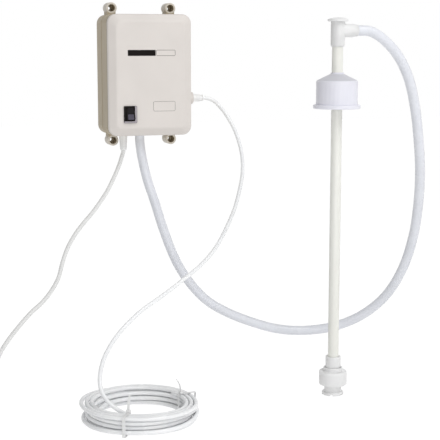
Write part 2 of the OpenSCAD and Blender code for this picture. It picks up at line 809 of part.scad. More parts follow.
// Slotted core on the shaft
module motor_armature() color("#9c6b3f") on_pump() difference() {
    disc(armature_z, armature_z + armature_h, armature_r);
    for (k = [0:4]) rotate([0, 0, 72 * k]) translate([armature_r, 0, armature_z - bite])
        linear_extrude(armature_h + 2 * bite) square([armature_r, armature_r / 5], center = true);
    disc(armature_z - bite, armature_z + armature_h + bite, shaft_r + fit / 4);
}

module motor_commutator() color("#b87333") on_pump() difference() {
    disc(commutator_z, commutator_z + commutator_h, commutator_r);
    disc(commutator_z - bite, commutator_z + commutator_h + bite, shaft_r + fit / 4);
}

// The hub's outer face leans, so the plate on it nods as the shaft turns
module wobble_hub() color("#a9adb0") on_pump() difference() {
    translate([0, 0, hub_z]) rotate([0, wobble, 0]) cylinder(h = hub_h, r = hub_r, center = true);
    disc(hub_z - hub_h, hub_z + hub_h, shaft_r + fit / 4);
}

// Three arms, each over one pad of the diaphragm
module wobble_plate() color("#d8d8d2") on_pump()
translate([0, 0, hub_z]) rotate([0, wobble, 0]) linear_extrude(plate_t, center = true) difference() {
    union() {
        circle(plate_hub_r);
        for (k = [0:2]) rotate(120 * k) {
            translate([0, -arm_w / 2]) square([pad_ring_r, arm_w]);
            translate([pad_ring_r, 0]) circle(pad_r);
        }
    }
    circle(hub_r + fit / 2);
}

module drive_housing() color("#33363a") on_pump() difference() {
    disc(drive_z, motor_z, head_r);
    disc(drive_z - bite, motor_z - drive_roof, inner_r);
    disc(drive_z, motor_z + bite, bearing_r + fit);
    sixes(head_screw_ring) disc(drive_z - bite, drive_z + drive_h / 2, head_screw_r + fit / 2);
}

module diaphragm() color("#26262a") on_pump() difference() {
    union() {
        disc(diaphragm_z, drive_z, head_r);
        threes(pad_ring_r) disc(diaphragm_z, drive_z + pad_t, pad_r);
    }
    sixes(head_screw_ring) disc(diaphragm_z - bite, drive_z + bite, head_screw_r + fit);
}

module valve_plate() color("#c7cbd0") on_pump() difference() {
    disc(valve_z, diaphragm_z, head_r);
    threes(pad_ring_r) disc(diaphragm_z - chamber_d, diaphragm_z + bite, chamber_r);
    threes(inlet_ring_r) disc(valve_z - bite, diaphragm_z, inlet_hole_r);
    threes(outlet_ring_r) disc(valve_z - bite, diaphragm_z, outlet_hole_r);
    sixes(head_screw_ring) disc(valve_z - bite, diaphragm_z + bite, head_screw_r + fit);
}

// Rubber flaps: three over the inlet holes, one under the outlet holes
module pump_valves() color("#5a1f1f") on_pump() {
    threes(inlet_ring_r) disc(diaphragm_z - chamber_d, diaphragm_z - chamber_d + flap_t, inlet_flap_r);
    disc(valve_z - flap_t, valve_z, out_chamber_r - 0.5);
}

module head_cover() color("#2d3034") difference() {
    union() {
        on_pump() difference() {
            disc(head_z, valve_z, head_r);
            disc(head_z + chamber_floor, valve_z + bite, inner_r);
        }
        on_pump() difference() {
            disc(head_z, valve_z, in_chamber_r);
            disc(head_z + chamber_floor, valve_z + bite, out_chamber_r);
        }
        difference() {
            sideways(pump_d, outlet_z, pump_x + in_chamber_r - bite, port_end) circle(port_r);
            on_pump() disc(head_z, valve_z, out_chamber_r + bite / 2);
        }
        upright(inlet_x, pump_d, head_z - inlet_port_l, head_z + bite) circle(barb_r);
    }
    sideways(pump_d, outlet_z, pump_x, port_end + bite) circle(port_bore);
    upright(inlet_x, pump_d, head_z - inlet_port_l - bite, head_z + chamber_floor + bite) circle(barb_bore);
    on_pump() sixes(head_screw_ring) disc(head_z - bite, valve_z + bite, head_screw_r + fit);
    translate([pump_x + press_off, -pump_d, 0])
        disc(head_z - bite, head_z + chamber_floor + bite, press_r / 4);
}

module head_screws() color("#b5b8ba") on_pump() sixes(head_screw_ring) {
    disc(head_z - 2, head_z, head_screw_head_r);
    disc(head_z - bite, drive_z + drive_h / 2 - bite, head_screw_r);
}

// Cuts the motor at the set delivery pressure
module pressure_switch() color("#1f2123") translate([pump_x + press_off, -pump_d, 0]) {
    disc(head_z - press_h, head_z, press_r);
    for (s = [-1, 1]) translate([s * press_r / 2, 0, head_z - press_h - terminal_l / 2])
        cube([terminal_w / 2, terminal_t, terminal_l + bite / 2], center = true);
}

module inlet_spigot() color("#e6e6e2") translate([inlet_x, -pump_d, 0]) difference() {
    union() {
        disc(spigot_z, spigot_z + spigot_flange_t, spigot_flange_r);
        disc(spigot_z, spigot_z + spigot_flange_t + barb_l, barb_r);
    }
    disc(spigot_z - bite, spigot_z + spigot_flange_t + barb_l + bite, barb_bore);
}

module hose_grommet() color("#d9d9d6") translate([inlet_x, -pump_d, 0]) difference() {
    union() {
        disc(-case_h / 2 - grommet_t, floor_in + grommet_t, hose_r + grommet_wall);
        disc(-case_h / 2 - grommet_t, -case_h / 2, hose_r + grommet_wall + grommet_lip);
        disc(floor_in, floor_in + grommet_t, hose_r + grommet_wall + grommet_lip);
    }
    disc(-case_h / 2 - grommet_t - bite, floor_in + grommet_t + bite, hose_r + fit);
}

module suction_sleeve() color("#3a3d40") translate([inlet_x, -pump_d, 0]) difference() {
    disc(spigot_z + spigot_flange_t, head_z, barb_r + sleeve_t);
    disc(spigot_z, head_z + bite, barb_r + fit / 2);
}

module delivery_sleeve() color("#3a3d40")
    sideways(pump_d, outlet_z, pump_x + head_r + fit, side_x - wall - nut_t - 3 * fit)
        ring(port_r + sleeve_t, port_r + fit / 2);

module outlet_fitting() color("#f0f0ee") difference() {
    union() {
        sideways(pump_d, outlet_z, side_x - wall - fitting_in, fitting_end) circle(fitting_r);
        sideways(pump_d, outlet_z, boss_end, boss_end + fitting_flange_t) circle(fitting_flange_r);
    }
    sideways(pump_d, outlet_z, side_x - 2 * wall - fitting_in, fitting_end) circle(tube_r - 1);
    sideways(pump_d, outlet_z, tube_stop, fitting_end + bite) circle(collet_bore);
    sideways(pump_d, outlet_z, seal_x, fitting_end + bite) circle(socket_r);
}

module outlet_nut() color("#e2e2de")
sideways(pump_d, outlet_z, side_x - wall - nut_t, side_x - wall) difference() {
    circle(fitting_r + 3, $fn = 6);
    circle(fitting_r + fit / 2);
}

module outlet_seal() color("#1e1e20")
    sideways(pump_d, outlet_z, seal_x, seal_x + oring_t) ring(socket_r - fit / 2, collet_bore);

module outlet_collet() color("#f4f4f2") {
    sideways(pump_d, outlet_z, fitting_end - collet_in, fitting_end + collet_gap + bite)
        ring(collet_r, collet_bore);
    sideways(pump_d, outlet_z, fitting_end + collet_gap, fitting_end + collet_gap + collet_flange_t)
        ring(collet_flange_r, collet_bore);
}

module control_board() color("#2f6b3c") difference() {
    forward(board_x, board_z, board_d, board_face) square([board_w, board_h], center = true);
    translate([board_x, 0, board_z]) corners(board_dx, board_dz) forward(0, 0, 0, front_d) circle(screw_r);
}

module transformer() color("#6b6f73") {
    forward(board_x, board_z + board_h / 4, board_face, board_face + coil_d)
        square([coil_w, coil_h], center = true);
    forward(board_x, board_z + board_h / 4, board_face + coil_d - bite, board_face + coil_d + bite)
        square([coil_w / 2, coil_h + 2 * bite], center = true);
}

// Relay, two capacitors and a terminal block
module board_parts() color("#27303a") {
    forward(board_x - board_w / 4, board_z - board_h / 8, board_face, board_face + relay_d)
        square([relay_w, relay_h], center = true);
    for (z = [capacitor_z, capacitor_z - capacitor_step])
        forward(board_x + board_w / 4, z, board_face, board_face + relay_d) circle(capacitor_r);
    forward(board_x, block_z, board_face, board_face + block_d) square([block_w, block_h], center = true);
}

// Two leads side by side along a route
module leads(route) for (s = [-1, 1]) swept(placed(route, [2 * s * lead_r, 0, 0]), lead_r, 6);
// Leads from the mains cord, the switch and the motor to the board
module wiring() color("#a33a2c") {
    leads(mains_wire);
    leads(switch_wire);
    leads(motor_wire);
}

// Tapered bush that holds the mains cord
module mains_gland() color("#eeeeec") translate([gland_x, -gland_d, 0]) difference() {
    union() {
        disc(-case_h / 2 - gland_flange, floor_in, gland_r);
        disc(floor_in, floor_in + gland_flange, gland_r + gland_flange);
        translate([0, 0, -case_h / 2 - gland_l])
            cylinder(h = gland_l - gland_flange, r1 = cord_r + gland_tip, r2 = gland_r);
    }
    disc(-case_h / 2 - gland_l - bite, floor_in + gland_flange + bite, cord_r + fit);
}

module mains_cord() color("#efefed") swept(joined(cord_route, cord_loops, cord_r), cord_r, 8);

module mains_coil() color("#efefed") {
    echo(str("mains coil least gap ", least_gap(cord_loops, cord_r, loop_rings / 2)));
    swept(cord_loops, cord_r, 6);
}

// A strap round the turns of a coil, at an angle from the coil's middle
module strap(at, r_in, r_out, layers, pitch, r, angle) {
    inner = r_in - r - strap_room;
    outer = r_out + r + strap_room;
    low = -r - strap_room;
    high = (layers - 1) * pitch + r + strap_room;
    translate(at) rotate([90, 0, angle]) translate([0, 0, -tie_w / 2]) linear_extrude(tie_w) difference() {
        translate([inner - tie_t, low - tie_t]) square([outer - inner + 2 * tie_t, high - low + 2 * tie_t]);
        translate([inner, low]) square([outer - inner, high - low]);
    }
}

module mains_tie() color("#222222")
    strap(cord_coil_at, cord_coil_in, cord_coil_out, cord_layers, cord_pitch, cord_r, cord_tie_angle);

module at_plug() translate(plug_at) rotate([0, 0, plug_turn]) children();

module mains_plug() color("#ededeb") at_plug() {
    rotate([0, 90, 0]) cylinder(h = plug_neck_l + bite, r1 = cord_r + 1, r2 = plug_h / 2 - 3);
    translate([plug_neck_l, 0, 0]) rotate([90, 0, 90]) linear_extrude(plug_l) round_rect(plug_w, plug_h, 6);
}

module plug_pins() color("#c8b878") at_plug() translate([plug_neck_l + plug_l, 0, 0]) {
    for (s = [-1, 1]) translate([pin_l / 2, s * pin_gap / 2, 3]) cube([pin_l, 1.5, 6.3], center = true);
    translate([0, 0, -6]) rotate([0, 90, 0]) cylinder(h = pin_l + 3, r = 2.4);
}

module delivery_tube() color("#f2f2f0") swept(joined(tube_route, tube_loops, tube_r), tube_r, 8);

module tube_coil() color("#f2f2f0") {
    echo(str("delivery coil least gap ", least_gap(tube_loops, tube_r, loop_rings / 2)));
    swept(tube_loops, tube_r, 6);
}

module tube_ties() color("#f5f5f3") for (a = tube_tie_angles)
    strap(tube_coil_at, tube_coil_in, tube_coil_out, tube_layers, tube_pitch, tube_r, a);

module suction_hose() color("#d4d6da") swept(hose_route, hose_r, 10);

module wand_head() color("#f1f2f0") on_wand() difference() {
    union() {
        disc(head_base + 3, head_base + wand_head_h, wand_head_r);
        translate([0, 0, head_base]) cylinder(h = 3, r1 = dip_r + 1.2, r2 = wand_head_r);
        translate([0, 0, spigot_z_up]) rotate([0, 90, 0])
            cylinder(h = spigot_out - spigot_taper, r = spigot_r);
        translate([spigot_out - spigot_taper, 0, spigot_z_up]) rotate([0, 90, 0])
            cylinder(h = spigot_taper, r1 = spigot_r, r2 = hose_r + spigot_lip);
    }
    disc(head_base - bite, dip_top, dip_r + fit / 2);
    disc(head_base, head_base + wand_head_h + bite, dip_r - dip_wall);
    translate([0, 0, spigot_z_up]) rotate([0, 90, 0]) cylinder(h = spigot_out, r = dip_r - dip_wall - 1);
    translate([spigot_out - hose_socket, 0, spigot_z_up]) rotate([0, 90, 0])
        cylinder(h = hose_socket + bite, r = hose_r + fit);
}

module head_plug() color("#f1f2f0") on_wand() {
    translate([0, 0, head_base + wand_head_h]) rotate_extrude() polygon([
        [0, 0], [plug_r - 0.8, 0], [plug_r, 0.8],
        [plug_r, plug_flange_h - 1], [plug_r - 1.5, plug_flange_h],
        [plug_r / 2, plug_flange_h + plug_dome * 0.75], [0, plug_flange_h + plug_dome],
    ]);
    disc(head_base + wand_head_h - plug_shank, head_base + wand_head_h + bite, dip_r - dip_wall - fit / 2);
}

module dip_tube() color("#ecece6") on_wand() difference() {
    disc(dip_base, dip_top, dip_r);
    disc(dip_base - bite, dip_top + bite, dip_r - dip_wall);
}

// Cap that sits over a bottle's neck and slides on the dip tube
module neck_cap() color("#e6e7ec") on_wand() translate([0, 0, cap_base]) difference() {
    rotate_extrude() polygon([
        [0, 0], [cap_rim_r - 0.8, 0], [cap_rim_r, 0.8], [cap_rim_r, cap_rim_h - 1],
        [cap_rim_r - 1, cap_rim_h], [cap_r, cap_rim_h],
        [cap_r, cap_rim_h + cap_side_h - 1.5], [cap_r - 1.5, cap_rim_h + cap_side_h],
        [cap_neck_r + 1, cap_top - 2.5], [cap_neck_r, cap_top - 1.5], [cap_neck_r, cap_top], [0, cap_top],
    ]);
    disc(-bite, cap_seat + gasket_t, cap_bore_r);
    disc(-bite, cap_top + bite, dip_r + fit);
}

module cap_gasket() color("#b9bcc0") on_wand() translate([0, 0, cap_base])
    translate([0, 0, cap_seat]) linear_extrude(gasket_t) ring(cap_bore_r - fit, dip_r + 3);

// Float with a pocket that clears the coupling as it rises
module float() color("#eff0f0") on_wand() difference() {
    union() {
        translate([0, 0, float_base]) rotate_extrude() polygon([
            [0, 0], [float_r - 1.2, 0], [float_r, 1.2], [float_r, float_h - 1.2],
            [float_r - 1.2, float_h], [0, float_h],
        ]);
        disc(float_base + bite, float_top, float_collar_r);
    }
    disc(float_base - bite, float_top + bite, stem_r + fit);
    disc(float_pocket_z, float_top + bite, float_pocket_r);
    translate([0, 0, magnet_z - fit]) linear_extrude(magnet_h + 2 * fit)
        ring(magnet_out + fit, magnet_in - fit);
}

module float_magnet() color("#4d4f52") on_wand() translate([0, 0, magnet_z]) linear_extrude(magnet_h)
    ring(magnet_out, magnet_in);

// Stem that the float slides on, with the socket of the dip tube at its top
module float_stem() color("#eceded") on_wand() difference() {
    union() {
        disc(stem_base, coupling_base + bite, stem_r);
        disc(coupling_base, coupling_base + coupling_h, coupling_r);
    }
    disc(stem_base - bite, coupling_base + coupling_h, stem_bore);
    disc(stem_base - bite, stem_base + stem_mouth_h, stem_mouth_r);
    disc(dip_base, coupling_base + coupling_h + bite, dip_r + fit / 2);
    translate([0, reed_ring, 0]) disc(reed_z - fit, reed_z + reed_h + fit, reed_r + fit);
}

module reed_switch() color("#b8d0c0") on_wand()
    translate([0, reed_ring, 0]) disc(reed_z, reed_z + reed_h, reed_r);

module strainer_foot() color("#e3e5e8") on_wand() difference() {
    union() {
        rotate_extrude() polygon([
            [0, 0], [foot_r, 0], [foot_r, foot_flange_h - 1.5],
            [foot_r - 1.5, foot_flange_h], [0, foot_flange_h],
        ]);
        disc(0, foot_h, neck_r);
    }
    disc(-bite, foot_h, foot_inlet_r);
    disc(foot_seat_h, foot_h + bite, foot_chamber_r);
    disc(stem_base, foot_h + bite, stem_r + fit / 2);
    for (k = [0:2]) rotate([0, 0, 60 * k])
        cube([2 * foot_r + 2 * bite, foot_slot_w, 2 * foot_slot_h], center = true);
}

// Notched disc that lifts off its seat when water is drawn
module foot_valve() color("#55585c") on_wand() difference() {
    disc(foot_seat_h, foot_seat_h + valve_body_h, foot_chamber_r - fit);
    for (k = [0:3]) rotate([0, 0, 90 * k + 45]) translate([foot_chamber_r, 0, 0])
        disc(foot_seat_h - bite, foot_seat_h + valve_body_h + bite, foot_chamber_r / 3);
}

rear_case();
front_cover();
case_seal();
case_screws();
switch_housing();
switch_rocker();
switch_terminals();
pump_bracket();
pump_feet();
foot_screws();
motor_can();
motor_magnets();
motor_end_bell();
motor_brushes();
front_bearing();
motor_shaft();
motor_armature();
motor_commutator();
wobble_hub();
wobble_plate();
drive_housing();
diaphragm();
valve_plate();
pump_valves();
head_cover();
head_screws();
pressure_switch();
inlet_spigot();
hose_grommet();
suction_sleeve();
delivery_sleeve();
outlet_fitting();
outlet_nut();
outlet_seal();
outlet_collet();
control_board();
transformer();
board_parts();
wiring();
mains_gland();
mains_cord();
mains_coil();
mains_tie();
mains_plug();
plug_pins();
delivery_tube();
tube_coil();
tube_ties();
suction_hose();
wand_head();
head_plug();
dip_tube();
neck_cap();
cap_gasket();
float();
float_magnet();
float_stem();
reed_switch();
strainer_foot();
foot_valve();
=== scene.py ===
"""Looks of a bottled water pump: wall case, bottle wand, suction hose, coil of delivery tube, mains lead.

Lengths in the classes are millimetres in the part's own frame (X right, Y into the wall, Z up).
Turned sections (skins, walls, bands) are radius and height pairs that go round them.
"""

import logging
import math
from dataclasses import dataclass, field
from enum import Enum

import bmesh
import bpy
from mathutils import Matrix, Vector


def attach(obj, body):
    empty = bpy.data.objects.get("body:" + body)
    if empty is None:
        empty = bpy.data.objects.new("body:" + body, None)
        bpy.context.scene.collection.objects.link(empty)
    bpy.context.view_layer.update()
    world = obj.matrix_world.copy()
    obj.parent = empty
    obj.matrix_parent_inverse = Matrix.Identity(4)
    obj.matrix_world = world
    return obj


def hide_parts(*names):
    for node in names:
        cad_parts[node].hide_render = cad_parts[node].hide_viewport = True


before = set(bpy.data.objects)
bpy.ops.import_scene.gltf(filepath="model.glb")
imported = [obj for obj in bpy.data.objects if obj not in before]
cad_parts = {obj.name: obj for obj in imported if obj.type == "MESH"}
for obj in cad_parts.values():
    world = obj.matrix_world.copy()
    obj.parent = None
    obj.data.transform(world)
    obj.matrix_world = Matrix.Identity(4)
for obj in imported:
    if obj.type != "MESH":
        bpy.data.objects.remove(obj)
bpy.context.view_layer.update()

LOG = logging.getLogger("pump")
MM = 0.001
FLOOR_Z = -500.0
UP = Vector((0.0, 0.0, 1.0))
OUT = Vector((0.0, -1.0, 0.0))
RIGHT = Vector((1.0, 0.0, 0.0))
WHITE = (1.0, 1.0, 1.0, 1.0)
PLASTIC_IOR = 1.48
COAT_ROUGH = 0.12
LEAST_ROUGH = 0.03
TONE_ENDS = (0.3, 0.7)
TONE_DETAIL = 4.0
GLOSS_DETAIL = 3.0
GLOSS_SHARE = 1 / 3
RELIEF_STRENGTH = 0.5
CORD_ROUNDNESS = 4
WELD_M = 1e-6
EASE_STEPS = 3
EASE_FROM_DEG = 40.0
SMOOTH_DEG = 35.0
Pair = tuple[float, float]
Point = tuple[float, float, float]
Colour = tuple[int, int, int]
Pairs = tuple[Pair, ...]


class Grain(Enum):
    """The pattern that a surface carries."""

    SATIN = "satin"
    LEATHERY = "leathery"
    DRAWN = "drawn"
    CAST = "cast"


class Lay(Enum):
    """How a cord lies."""

    COILED = "coiled"
    HANGING = "hanging"


GRAIN_DETAIL = {Grain.SATIN: 3.0, Grain.DRAWN: 2.0, Grain.CAST: 6.0}


def srgb(colour: Colour) -> tuple[float, float, float, float]:
    """Turn a colour as seen into the linear one a shader takes.

    Args:
        colour: Red, green and blue from 0 to 255.

    Returns:
        Linear red, green, blue and a full alpha.
    """
    lin = [c / 255 / 12.92 if c <= 10 else ((c / 255 + 0.055) / 1.055) ** 2.4 for c in colour]
    return (lin[0], lin[1], lin[2], 1.0)


@dataclass(frozen=True)
class Finish:
    """A surface: two close colours that drift into each other, a gloss that varies and a fine relief."""

    name: str
    tint: Colour
    low: Colour
    rough: float = 0.45
    rough_spread: float = 0.08
    grain: Grain = Grain.SATIN
    grain_mm: float = 0.8
    relief_mm: float = 0.02
    drift_mm: float = 40.0
    metal: float = 0.0
    coat: float = 0.0
    soft: float = 0.0
    soft_mm: float = 2.0
    clear: float = 0.0
    shine: float = 0.5
    stretch: Point = (1.0, 1.0, 1.0)

    def material(self) -> bpy.types.Material:
        """Build the material, or give the one already built.

        Returns:
            The material for this finish.
        """
        made = bpy.data.materials.get(self.name)
        if made:
            return made
        made = bpy.data.materials.new(self.name)
        made.use_nodes = True
        made.diffuse_color = srgb(self.tint)
        Paint(self, made.node_tree).build()
        return made


class Paint:
    """The nodes of one finish, put together on its material's shader."""

    def __init__(self, finish: Finish, tree: bpy.types.NodeTree) -> None:
        """Take the shader at hand and place the pattern.

        Args:
            finish: The surface to build.
            tree: The new material's node tree.
        """
        self.finish = finish
        self.tree = tree
        self.shader = tree.nodes["Principled BSDF"]
        place = tree.nodes.new("ShaderNodeTexCoord")
        self.spread = tree.nodes.new("ShaderNodeMapping")
        self.spread.inputs["Scale"].default_value = finish.stretch
        tree.links.new(place.outputs["Object"], self.spread.inputs["Vector"])

    def build(self) -> None:
        """Set the even values and link the varied ones."""
        even = {
            "Metallic": self.finish.metal,
            "Coat Weight": self.finish.coat,
            "Coat Roughness": COAT_ROUGH,
            "IOR": PLASTIC_IOR,
            "Specular IOR Level": self.finish.shine,
            "Subsurface Weight": self.finish.soft,
            "Subsurface Scale": self.finish.soft_mm * MM,
            "Subsurface Radius": (1.0, 1.0, 1.0),
            "Transmission Weight": self.finish.clear,
        }
        for socket, value in even.items():
            self.shader.inputs[socket].default_value = value
        self._colour()
        self._gloss()
        self._relief()

    def _noise(self, size_mm: float, detail: float) -> bpy.types.Node:
        """Add a noise of a given size.

        Args:
            size_mm: Size of one blotch.
            detail: How much finer structure it has.

        Returns:
            The noise node.
        """
        noise = self.tree.nodes.new("ShaderNodeTexNoise")
        noise.inputs["Scale"].default_value = 1.0 / (size_mm * MM)
        noise.inputs["Detail"].default_value = detail
        self.tree.links.new(self.spread.outputs["Vector"], noise.inputs["Vector"])
        return noise

    def _colour(self) -> None:
        """Let the colour drift between its two tones."""
        drift = self._noise(self.finish.drift_mm, TONE_DETAIL)
        ramp = self.tree.nodes.new("ShaderNodeValToRGB")
        tones = (self.finish.low, self.finish.tint)
        for stop, place, tone in zip(ramp.color_ramp.elements, TONE_ENDS, tones):
            stop.position = place
            stop.color = srgb(tone)
        self.tree.links.new(drift.outputs["Fac"], ramp.inputs["Fac"])
        self.tree.links.new(ramp.outputs["Color"], self.shader.inputs["Base Color"])

    def _gloss(self) -> None:
        """Vary the gloss a little over the surface."""
        handled = self._noise(self.finish.drift_mm * GLOSS_SHARE, GLOSS_DETAIL)
        span = self.tree.nodes.new("ShaderNodeMapRange")
        span.inputs["To Min"].default_value = max(self.finish.rough - self.finish.rough_spread, LEAST_ROUGH)
        span.inputs["To Max"].default_value = min(self.finish.rough + self.finish.rough_spread, 1.0)
        self.tree.links.new(handled.outputs["Fac"], span.inputs["Value"])
        self.tree.links.new(span.outputs["Result"], self.shader.inputs["Roughness"])

    def _relief(self) -> None:
        """Raise the grain as a bump."""
        if self.finish.grain is Grain.LEATHERY:
            cells = self.tree.nodes.new("ShaderNodeTexVoronoi")
            cells.feature = "SMOOTH_F1"
            cells.inputs["Scale"].default_value = 1.0 / (self.finish.grain_mm * MM)
            self.tree.links.new(self.spread.outputs["Vector"], cells.inputs["Vector"])
            height = cells.outputs["Distance"]
        else:
            height = self._noise(self.finish.grain_mm, GRAIN_DETAIL[self.finish.grain]).outputs["Fac"]
        bump = self.tree.nodes.new("ShaderNodeBump")
        bump.inputs["Strength"].default_value = RELIEF_STRENGTH
        bump.inputs["Distance"].default_value = self.finish.relief_mm * MM
        self.tree.links.new(height, bump.inputs["Height"])
        self.tree.links.new(bump.outputs["Normal"], self.shader.inputs["Normal"])


# Rear shell: its pale beige plastic darkened with painted shade, the shade that falls on its left side; the
# ears' skins keep the plastic's own paler colour.
CASE_SHELL_PAINTED_SHADE = Finish(
    "case_shell_plastic_painted_shade", (181, 168, 143), (173, 160, 135), 0.5, 0.06, Grain.LEATHERY, 0.9, 0.03,
)
COVER_SHELL = Finish(
    "cover_shell_plastic", (223, 217, 212), (219, 213, 208), 0.46, 0.06, Grain.LEATHERY, 0.9, 0.02,
)
EAR_SHELL = Finish(
    "ear_shell_plastic", (218, 211, 200), (211, 204, 192), 0.48, 0.06, Grain.LEATHERY, 0.9, 0.02,
)
# Painted shadow: the dark of the shadow gap where the cover's skirt meets the rear shell.
SEAM_PAINTED_SHADOW = Finish("seam_shadow", (150, 138, 117), (141, 129, 109), 0.7, 0.05)
STRIP_BLACK = Finish(
    "printed_black", (26, 23, 22), (32, 29, 27), 0.7, 0.1, Grain.SATIN, 0.3, 0.01, shine=0.05,
)
STRIP_LINE = Finish("printed_line", (92, 84, 80), (110, 101, 96), 0.5, 0.1, Grain.SATIN, 0.3, 0.01)
SWITCH_BLACK = Finish(
    "switch_black", (24, 20, 19), (18, 15, 14), 0.5, 0.08, Grain.SATIN, 0.5, 0.01, shine=0.1,
)
ROCKER_BLACK = Finish(
    "rocker_black", (34, 31, 33), (28, 25, 27), 0.42, 0.05, Grain.SATIN, 0.6, 0.006, shine=0.1,
)
# Painted sheen: the rocker's lower half tilts up and reflects the light above, so its face is painted a
# lighter grey.
ROCKER_PAINTED_SHEEN = Finish(
    "rocker_painted_sheen", (76, 72, 86), (68, 64, 78), 0.42, 0.05, Grain.SATIN, 0.6, 0.006, shine=0.2,
)
# Painted glint: the light that the glossy black bezel's right and bottom edges reflect.
BEZEL_PAINTED_GLINT = Finish("bezel_painted_glint", (172, 165, 170), (162, 155, 161), 0.4, 0.08)
WHITE_MOULD = Finish(
    "white_moulding", (236, 236, 236), (230, 230, 230), 0.32, 0.06, Grain.SATIN, 1.2, 0.012,
    soft=0.4, soft_mm=6.0, shine=0.3,
)
# The white moulding painted paler: painted light that lifts the gland, grommet and side fitting out of the
# shade they sit in.
WHITE_MOULD_PAINTED_LIGHT = Finish(
    "white_moulding_painted_light", (252, 252, 252), (248, 248, 248), 0.36, 0.06, Grain.SATIN, 1.2, 0.008,
    soft=0.2, soft_mm=3.0, shine=0.3,
)
IVORY_DRAWN = Finish(
    "ivory_drawn_tube", (246, 246, 239), (240, 240, 231), 0.3, 0.06, Grain.DRAWN, 1.5, 0.012,
    soft=0.4, soft_mm=6.0, stretch=(1.0, 1.0, 0.08),
)
CAP_MOULD = Finish(
    "cap_moulding", (232, 232, 240), (227, 227, 236), 0.34, 0.06, Grain.SATIN, 1.4, 0.012,
    soft=0.3, soft_mm=5.0,
)
# Painted shade: the cap's own moulding made darker on the cone, which tilts up away from the frontal light.
CONE_PAINTED_SHADE = Finish("cone_painted_shade", (206, 206, 213), (200, 200, 208), 0.36, 0.06, Grain.SATIN, 1.4, 0.012)
MILKY_HOSE = Finish(
    "milky_hose", (230, 232, 238), (225, 227, 233), 0.28, 0.06, Grain.DRAWN, 6.0, 0.008,
    soft=0.3, soft_mm=5.0,
)
MILKY_TUBE = Finish(
    "milky_tube", (246, 247, 248), (240, 241, 243), 0.26, 0.06, Grain.DRAWN, 5.0, 0.005,
    soft=0.5, soft_mm=3.0,
)
CORD_WHITE = Finish(
    "cord_white", (236, 236, 235), (229, 229, 228), 0.5, 0.07, Grain.SATIN, 3.0, 0.006, soft=0.2, soft_mm=3.0,
)
BLACK_RUBBER = Finish("black_rubber", (40, 40, 42), (32, 32, 34), 0.75, 0.08, Grain.CAST, 0.6, 0.03)
GREY_RUBBER = Finish("grey_rubber", (166, 168, 172), (152, 154, 158), 0.7, 0.08, Grain.CAST, 0.6, 0.03)
GREY_PLASTIC = Finish("pump_grey_plastic", (78, 80, 84), (68, 70, 74), 0.5, 0.08, Grain.LEATHERY, 0.7, 0.02)
BLACK_PLASTIC = Finish("inner_black_plastic", (38, 38, 40), (30, 30, 32), 0.45, 0.08, Grain.SATIN, 0.6, 0.02)
PALE_PLASTIC = Finish("valve_plastic", (206, 208, 208), (196, 198, 198), 0.42, 0.07, Grain.SATIN, 0.9, 0.015)
BRIGHT_STEEL = Finish(
    "plated_steel", (188, 190, 192), (168, 170, 172), 0.3, 0.1, Grain.DRAWN, 0.5, 0.006,
    metal=1.0, stretch=(1.0, 1.0, 0.1),
)
CAN_STEEL = Finish(
    "motor_can_steel", (150, 154, 158), (132, 136, 140), 0.38, 0.1, Grain.DRAWN, 0.8, 0.01,
    metal=1.0, stretch=(1.0, 1.0, 0.2),
)
CONTACT_BRASS = Finish(
    "contact_brass", (206, 184, 128), (190, 168, 112), 0.28, 0.1, Grain.DRAWN, 0.4, 0.006,
    metal=1.0, stretch=(1.0, 1.0, 0.1),
)
BRONZE_BUSH = Finish(
    "sintered_bronze", (176, 142, 88), (152, 120, 72), 0.5, 0.12, Grain.CAST, 0.4, 0.02, metal=1.0,
)
COPPER_CORE = Finish(
    "copper_winding", (190, 116, 66), (158, 92, 50), 0.34, 0.1, Grain.DRAWN, 0.5, 0.05, metal=1.0,
)
FERRITE_GREY = Finish("ferrite_grey", (64, 64, 66), (52, 52, 54), 0.65, 0.1, Grain.CAST, 0.5, 0.03)
BOARD_GREEN = Finish(
    "board_lacquer", (44, 104, 60), (36, 92, 52), 0.3, 0.08, Grain.SATIN, 1.5, 0.01, coat=0.5,
)
WIRE_RED = Finish("wire_insulation", (164, 60, 46), (148, 50, 38), 0.42, 0.08, Grain.SATIN, 0.8, 0.01)
REED_GLASS = Finish(
    "reed_glass", (190, 214, 200), (178, 206, 190), 0.08, 0.03, Grain.SATIN, 2.0, 0.002, clear=0.7,
)
# Painted shade: a dark disc standing in for the dimness deep inside the open tube.
BORE_PAINTED_SHADE = Finish("bore_shadow", (96, 98, 102), (80, 82, 86), 0.8, 0.05)


def keep(piece: bpy.types.Object, finish: Finish, body: str) -> bpy.types.Object:
    """Give a piece its finish and the body it rides on.

    Args:
        piece: The new mesh or curve.
        finish: Its surface.
        body: The body that carries it.

    Returns:
        The same piece.
    """
    piece.data.materials.append(finish.material())
    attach(piece, body)
    LOG.info("made %s on %s", piece.name, body)
    return piece


def add(
    name: str, shape: bmesh.types.BMesh, finish: Finish, body: str = "frame"
) -> bpy.types.Object:
    """Turn a built shape into a finished piece that shades smoothly over flat edges.

    Args:
        name: The piece's name.
        shape: The built shape, in millimetres; it is freed.
        finish: Its surface.
        body: The body that carries it.

    Returns:
        The finished piece.
    """
    bmesh.ops.recalc_face_normals(shape, faces=shape.faces)
    data = bpy.data.meshes.new(name)
    shape.to_mesh(data)
    shape.free()
    data.transform(Matrix.Scale(MM, 4))
    data.shade_smooth()
    data.set_sharp_from_angle(angle=math.radians(SMOOTH_DEG))
    piece = bpy.data.objects.new(name, data)
    bpy.context.collection.objects.link(piece)
    return keep(piece, finish, body)


